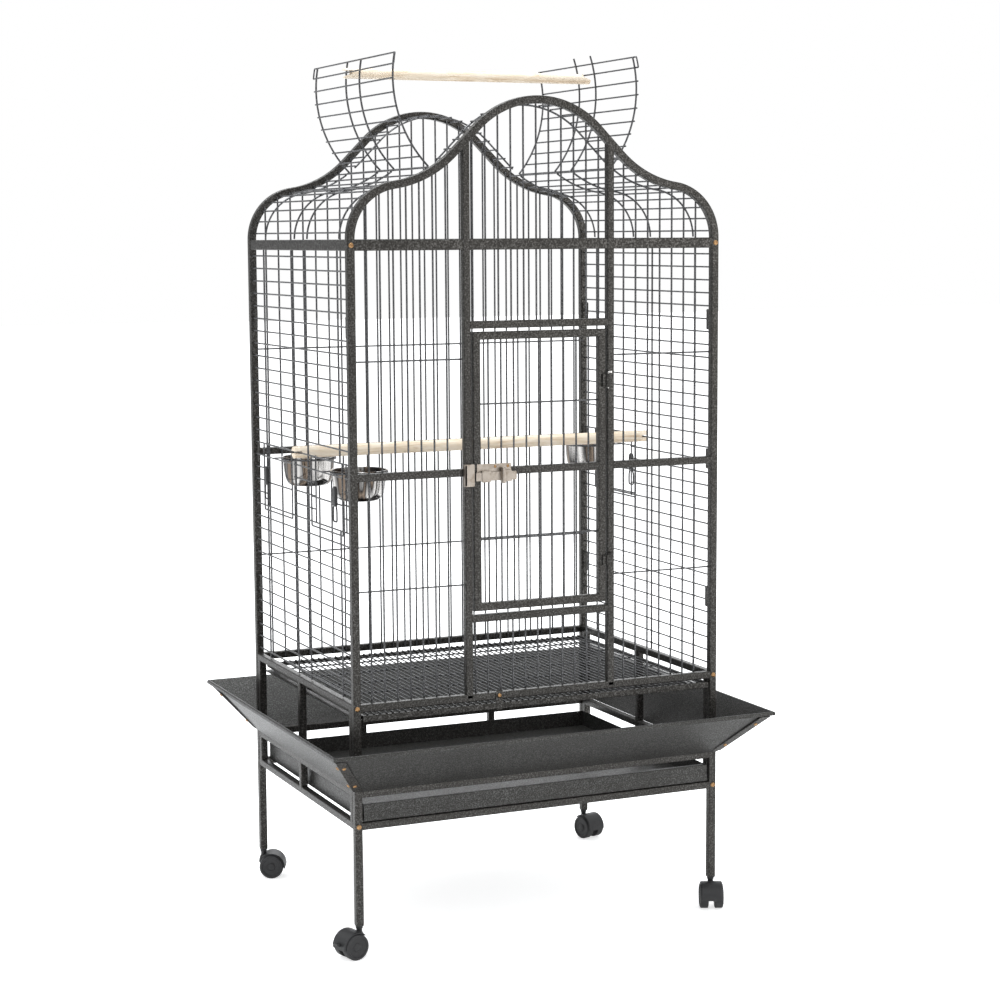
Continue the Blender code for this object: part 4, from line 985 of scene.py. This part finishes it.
def build_latch():
    face = FRONT_FACE_Y
    plate = [slab((-0.1334, face - 0.0020, 0.889), (-0.0625, face - 0.0003, 0.920), "Y", 0.0020)]
    for low_x, high_x in ((-0.1250, -0.1070), (-0.0770, -0.0640)):
        plate.append(slab((low_x, face - 0.0080, 0.8858), (high_x, face - 0.0070, 0.9072),
                          "Y", 0.0012, 0.0003))
        for low_z, high_z in ((0.8858, 0.8874), (0.9056, 0.9072)):
            fold_low = (low_x + 0.0002, face - 0.0076, low_z)
            fold_high = (high_x - 0.0002, face - 0.0015, high_z)
            plate.append(slab(fold_low, fold_high, "Z", 0.0008, 0.0003))
    piece("latch_plate_folded", plate, NICKEL, "front_door", ["latch_plate"])
    rivets = [screw_head((x, face - 0.0019, 0.9145), -Y, 0.0028, 0.0018) for x in (-0.0960, -0.0700)]
    piece("latch_rivets", rivets, BRASS, "front_door")
    bolt = slab((-0.137, face - 0.0066, 0.8882), (-0.0532, face - 0.0026, 0.9048), "Y", 0.0022)
    fin = slab((-0.086, face - 0.0156, 0.8828), (-0.079, face - 0.0056, 0.9130), "Y", 0.0030, 0.0012)
    piece("latch_bolt_bar", [bolt, fin], NICKEL, "latch_bolt", ["latch_bolt"])
    strike = [slab((-0.1605, face - 0.0085, 0.879), (-0.1560, face - 0.0003, 0.921), "X", 0.0015, 0.0004),
              slab((-0.1605, face - 0.0085, 0.879), (-0.1405, face - 0.0070, 0.921), "Y", 0.0022),
              slab((-0.1600, face - 0.0078, 0.8792), (-0.1410, face - 0.0003, 0.8868), "Z", 0.0015, 0.0004),
              slab((-0.1600, face - 0.0078, 0.9062), (-0.1410, face - 0.0003, 0.9208), "Z", 0.0015, 0.0004)]
    piece("latch_strike_box", strike, NICKEL, "cage", ["latch_strike"])


# ---------------------------------------------------------------- grate, tray, skirts
def build_grate():
    half = GRATE_HALF_W
    front, back = GRATE_FRONT_Y, GRATE_BACK_Y
    count = int(2 * (half - 0.006) / GRATE_WIRE_PITCH) + 1
    radius = 0.0014
    skins = [wire([(x, front + 0.001, GRATE_WIRE_Z), (x, back - 0.001, GRATE_WIRE_Z)], radius, 6)
             for x in spaced(count, GRATE_WIRE_PITCH)]
    skins += [wire([(-half, y, GRATE_WIRE_Z - 0.0022), (half, y, GRATE_WIRE_Z - 0.0022)], 0.0016)
              for y in (-0.20, -0.10, 0.0, 0.10, 0.20)]
    piece("grate_wires", skins, WIRE_COAT, "grate")
    rails = [slab((-half - 0.0005, front, 0.4485), (half + 0.0005, front + 0.008, 0.4606), "X", 0.0012),
             slab((-half - 0.0005, back - 0.006, 0.4525), (half + 0.0005, back + 0.0005, 0.4606),
                  "X", 0.0012)]
    rails += [slab((x - 0.003, front + 0.004, 0.4525), (x + 0.003, back - 0.003, 0.4606), "Y", 0.0010)
              for x in (-half + 0.0025, half - 0.0025)]
    rails.append(slab((TAB_X - 0.007, front - 0.0016, 0.4470), (TAB_X + 0.007, front - 0.0002, 0.4850),
                      "Y", 0.0022))
    piece("grate_rails", rails, HAMMERTONE, "grate", ["grate"])
    screw = screw_head((TAB_X, front - 0.0017, TAB_SCREW_Z), -Y, 0.0042, 0.0026)
    piece("grate_thumb_screw", [screw], BRASS, "grate", ["grate_screw"])


def build_tray():
    """A shallow sheet tray; its front is pressed with a groove and folded over at the top."""
    half, low, high, wall = TRAY_HALF_W, TRAY_LOW_Z, TRAY_HIGH_Z, TRAY_WALL
    front, back = TRAY_FRONT_Y, TRAY_BACK_Y
    floor = slab((-half, front + 0.001, low), (half, back, low + wall), "Z", 0.002, 0.0004)
    tall = high - low
    fold = [(wall, 0), (0, 0.001), (0, 0.0150), (0.0010, 0.0165), (0.0010, 0.0180), (0, 0.0195),
            (0, tall - 0.001), (0.0012, tall), (0.0100, tall), (0.0100, tall - 0.0010),
            (0.0022, tall - 0.0010), (wall, tall - 0.0025), (wall, 0.0195), (wall + 0.0010, 0.0180),
            (wall + 0.0010, 0.0165), (wall, 0.0150)]
    face = loft([[Vector((x, front + depth, low + height)) for depth, height in fold] for x in (-half, half)])
    sides = [slab((x - wall / 2, front + 0.001, low), (x + wall / 2, back, high), "X", 0.002, 0.0004)
             for x in (-half + wall / 2, half - wall / 2)]
    rear = slab((-half, back - wall, low), (half, back, high), "Y", 0.002, 0.0004)
    piece("tray_sheet", [floor, face, rear] + sides, SHEET_METAL, "tray", ["tray"])


def build_skirts():
    """Four flaring sheets with a folded lip; their mitred ends meet at the corner seams."""
    out = SKIRT_HIGH - SKIRT_LOW
    end_skirt = (X, SKIRT_LOW.y, out.y, out.x / out.y, SKIRT_LOW.x)
    side_skirt = (Y, SKIRT_LOW.x, out.x, out.y / out.x, SKIRT_LOW.y)
    for name, outward, shape in (("front", -Y, end_skirt), ("back", Y, end_skirt),
                                 ("left", -X, side_skirt), ("right", X, side_skirt)):
        along, start, spread, widening, half_low = shape
        rings = [[], []]
        for reach, z in thickened(skirt_line(spread), SHEET):
            half_length = half_low + reach * widening - SEAM_GAP
            for ring, end in zip(rings, (-1, 1)):
                ring.append(outward * (start + reach) + Z * z + along * (end * half_length))
        piece(f"skirt_sheet_{name}", [loft(rings)], SHEET_METAL, "cage", [f"skirt_{name}"])


def skirt_line(spread):
    """The middle of the sheet: up the slope, over the fold and down the lip, as (outwards, height)."""
    fold_r = 0.0024
    top = SKIRT_HIGH.z - SHEET / 2
    edge = spread - SHEET / 2
    slope = math.atan2(top - SKIRT_LOW.z, edge)
    centre = Vector((edge - fold_r, top - fold_r))
    first = slope + math.pi / 2
    angles = [first + (0 - first) * k / 6 for k in range(7)]
    fold = [centre + Vector((math.cos(a), math.sin(a))) * fold_r for a in angles]
    return [Vector((0, SKIRT_LOW.z)), *fold, Vector((edge, SKIRT_HIGH.z - SKIRT_LIP))]


def thickened(line, thickness):
    """A closed outline round an open bent line of 2D points, half the thickness to each side."""
    left, right = [], []
    for i, point in enumerate(line):
        ways = [(line[k + 1] - line[k]).normalized() for k in (i - 1, i) if 0 <= k < len(line) - 1]
        along = sum(ways, Vector((0, 0))).normalized()
        reach = thickness / 2 / along.dot(ways[0])
        across = Vector((-along.y, along.x)) * reach
        left.append(point + across)
        right.append(point - across)
    return left + right[::-1]


def build_corner_brackets():
    """V-shaped plates over the corner seams of the skirts, each held by two screws a side."""
    seam = SKIRT_HIGH - SKIRT_LOW
    face_x = Vector((seam.z, 0, -seam.x)).normalized()
    face_y = Vector((0, seam.z, -seam.y)).normalized()
    planes = Matrix((face_x, face_y, seam.normalized())).inverted()
    depths = (SHEET / 2 + 0.0002, 3 * SHEET / 2 + 0.0003)
    inner, outer = (planes @ Vector((depth, depth, 0)) for depth in depths)
    for name, (side_x, side_y) in CORNERS.items():
        mirror = Vector((side_x, side_y, 1))
        rings = []
        for share in (0.05, 0.07, 0.88, 0.90):
            wing = BRACKET_WING if 0.06 < share < 0.89 else BRACKET_WING - 0.0018
            ring = []
            for offset, order in ((inner, (-X, Vector(), -Y)), (outer, (-Y, Vector(), -X))):
                corner = SKIRT_LOW + seam * share + offset
                ring += [(corner + direction * wing) * mirror for direction in order]
            rings.append(ring)
        piece(f"skirt_bracket_{name}", [loft(rings)], HAMMERTONE, "cage", [f"corner_bracket_{name}"])
        heads = []
        for share in (0.20, 0.72):
            for face, direction in ((face_x, -Y), (face_y, -X)):
                at = (SKIRT_LOW + seam * share + outer + direction * 0.0095) * mirror
                heads.append(screw_head(at - face * mirror * 0.0002, face * mirror, 0.0038, 0.0022))
        piece(f"bracket_screws_{name}", heads, BRASS, "cage")


def build_post_screws():
    """Brass machine screws that join the panels to the posts."""
    for name, y, out in (("front", FRONT_FACE_Y, -Y), ("back", HALF_D + TUBE, Y)):
        heads = [screw_head((side * HALF_W, y + out.y * -0.0002, z), out, 0.0050, 0.0026)
                 for side in (-1, 1) for z in (SHOULDER_Z, BOTTOM_RAIL_Z, LOWER_RAIL_Z)]
        piece(f"post_screws_{name}", heads, BRASS, "cage")


# ---------------------------------------------------------------- casters
def build_caster(name, leg, trail):
    """A twin-wheel caster: hood, web and stem in one moulding, and two wheels on one axle."""
    trail = trail.normalized()
    axle = Z.cross(trail)
    centre = leg + trail * CASTER_TRAIL + Z * WHEEL_R

    def at(degrees, radius, across):
        angle = math.radians(degrees)
        return centre + trail * (radius * math.cos(angle)) + Z * (radius * math.sin(angle)) + axle * across

    steps = np.linspace(-8, 132, 21)
    hood_edge = [(HOOD_INNER_R, 0), (HOOD_OUTER_R - 0.0012, 0), (HOOD_OUTER_R - 0.0003, 0.0010),
                 (HOOD_OUTER_R, 0.0030)]
    rings = []
    for degrees in steps:
        half_w = HOOD_HALF_W - (0.0012 if degrees in (steps[0], steps[-1]) else 0.0)
        right = [at(degrees, radius, half_w - inset) for radius, inset in hood_edge]
        left = [at(degrees, radius, inset - half_w) for radius, inset in reversed(hood_edge)]
        rings.append(right + left)
    hood = loft(rings)
    web_edge = [(a, HOOD_INNER_R + 0.001) for a in steps]
    web_edge += [(165, 0.0262), (185, 0.0205), (205, 0.0130), (270, 0.010)]
    face = WEB_HALF_W - 0.0008
    levels = ((-WEB_HALF_W, 0.95), (-face, 1.0), (face, 1.0), (WEB_HALF_W, 0.95))
    web = loft([[at(a, r * size, level) for a, r in web_edge] for level, size in levels])
    stem_profile = [(STEM_R, 0.034), (STEM_R, 0.0540), (0.0068, 0.0548), (0.0068, 0.0585), (0.0060, 0.0592),
                    (0.0060, LEG_BOTTOM - 0.0003)]
    stem = turned(stem_profile, leg, Z, 24)
    socket_profile = [(0.0095, 0.0300), (0.0100, 0.0330), (0.0090, 0.0400), (0.0072, 0.0450),
                      (0.0060, 0.0470)]
    socket = turned(socket_profile, leg, Z, 24)
    piece(f"caster_body_{name}", [web, hood, stem, socket], PLASTIC, f"caster_{name}",
          [f"caster_hood_{name}"])

    rim, inner, outer = WHEEL_R, WHEEL_INNER, WHEEL_OUTER
    disc = [(0.0040, inner), (rim - 0.0016, inner), (rim - 0.0004, inner + 0.0006), (rim, inner + 0.0018),
            (rim, outer - 0.0030), (rim - 0.0006, outer - 0.0014), (rim - 0.0022, outer - 0.0004),
            (rim - 0.0040, outer), (rim - 0.0056, outer - 0.0002), (rim - 0.0064, outer - 0.0016),
            (0.0086, outer - 0.0024), (0.0076, outer - 0.0012), (0.0064, outer - 0.0006),
            (0.0005, outer - 0.0004)]
    wheels = [turned(disc, centre, axle * side, 48) for side in (-1, 1)]
    rod = wire([centre - axle * (WHEEL_INNER + 0.001), centre + axle * (WHEEL_INNER + 0.001)], 0.0039, 20)
    piece(f"caster_discs_{name}", wheels + [rod], PLASTIC, f"wheels_{name}", [f"caster_wheels_{name}"])
    return trail, axle, centre


def build_casters():
    for name, (side_x, side_y) in CORNERS.items():
        leg = Vector((side_x * HALF_W, side_y * HALF_D, 0))
        trail, axle, centre = build_caster(name, leg, TRAILS[name])
        if name == "front_left":
            build_brake(centre + trail * (HOOD_OUTER_R + 0.0022) + Z * 0.006, trail, axle)


def build_brake(pivot, trail, axle):
    """A small tread behind one caster's hood."""
    outline = ((-0.0015, -0.0025), (0.0020, -0.0018), (0.0060, 0.0012), (0.0066, 0.0032), (0.0055, 0.0048),
               (0.0020, 0.0044), (-0.0015, 0.0030))
    levels = ((-0.008, 0.88), (-0.0072, 1.0), (0.0072, 1.0), (0.008, 0.88))
    rings = [[pivot + (trail * a + Z * b) * size + axle * level for a, b in outline]
             for level, size in levels]
    piece("brake_tread", [loft(rings)], PLASTIC, "brake_lever", ["brake_lever"])


add_camera()
add_studio()
build_front_frame()
build_back_frame()
build_side_frames()
build_leg_plugs()
build_bars()
build_side_panels()
build_roof()
build_flaps()
build_perches()
build_feeders()
build_front_door()
build_hinge_pins()
build_latch()
build_grate()
build_tray()
build_skirts()
build_corner_brackets()
build_post_screws()
build_casters()
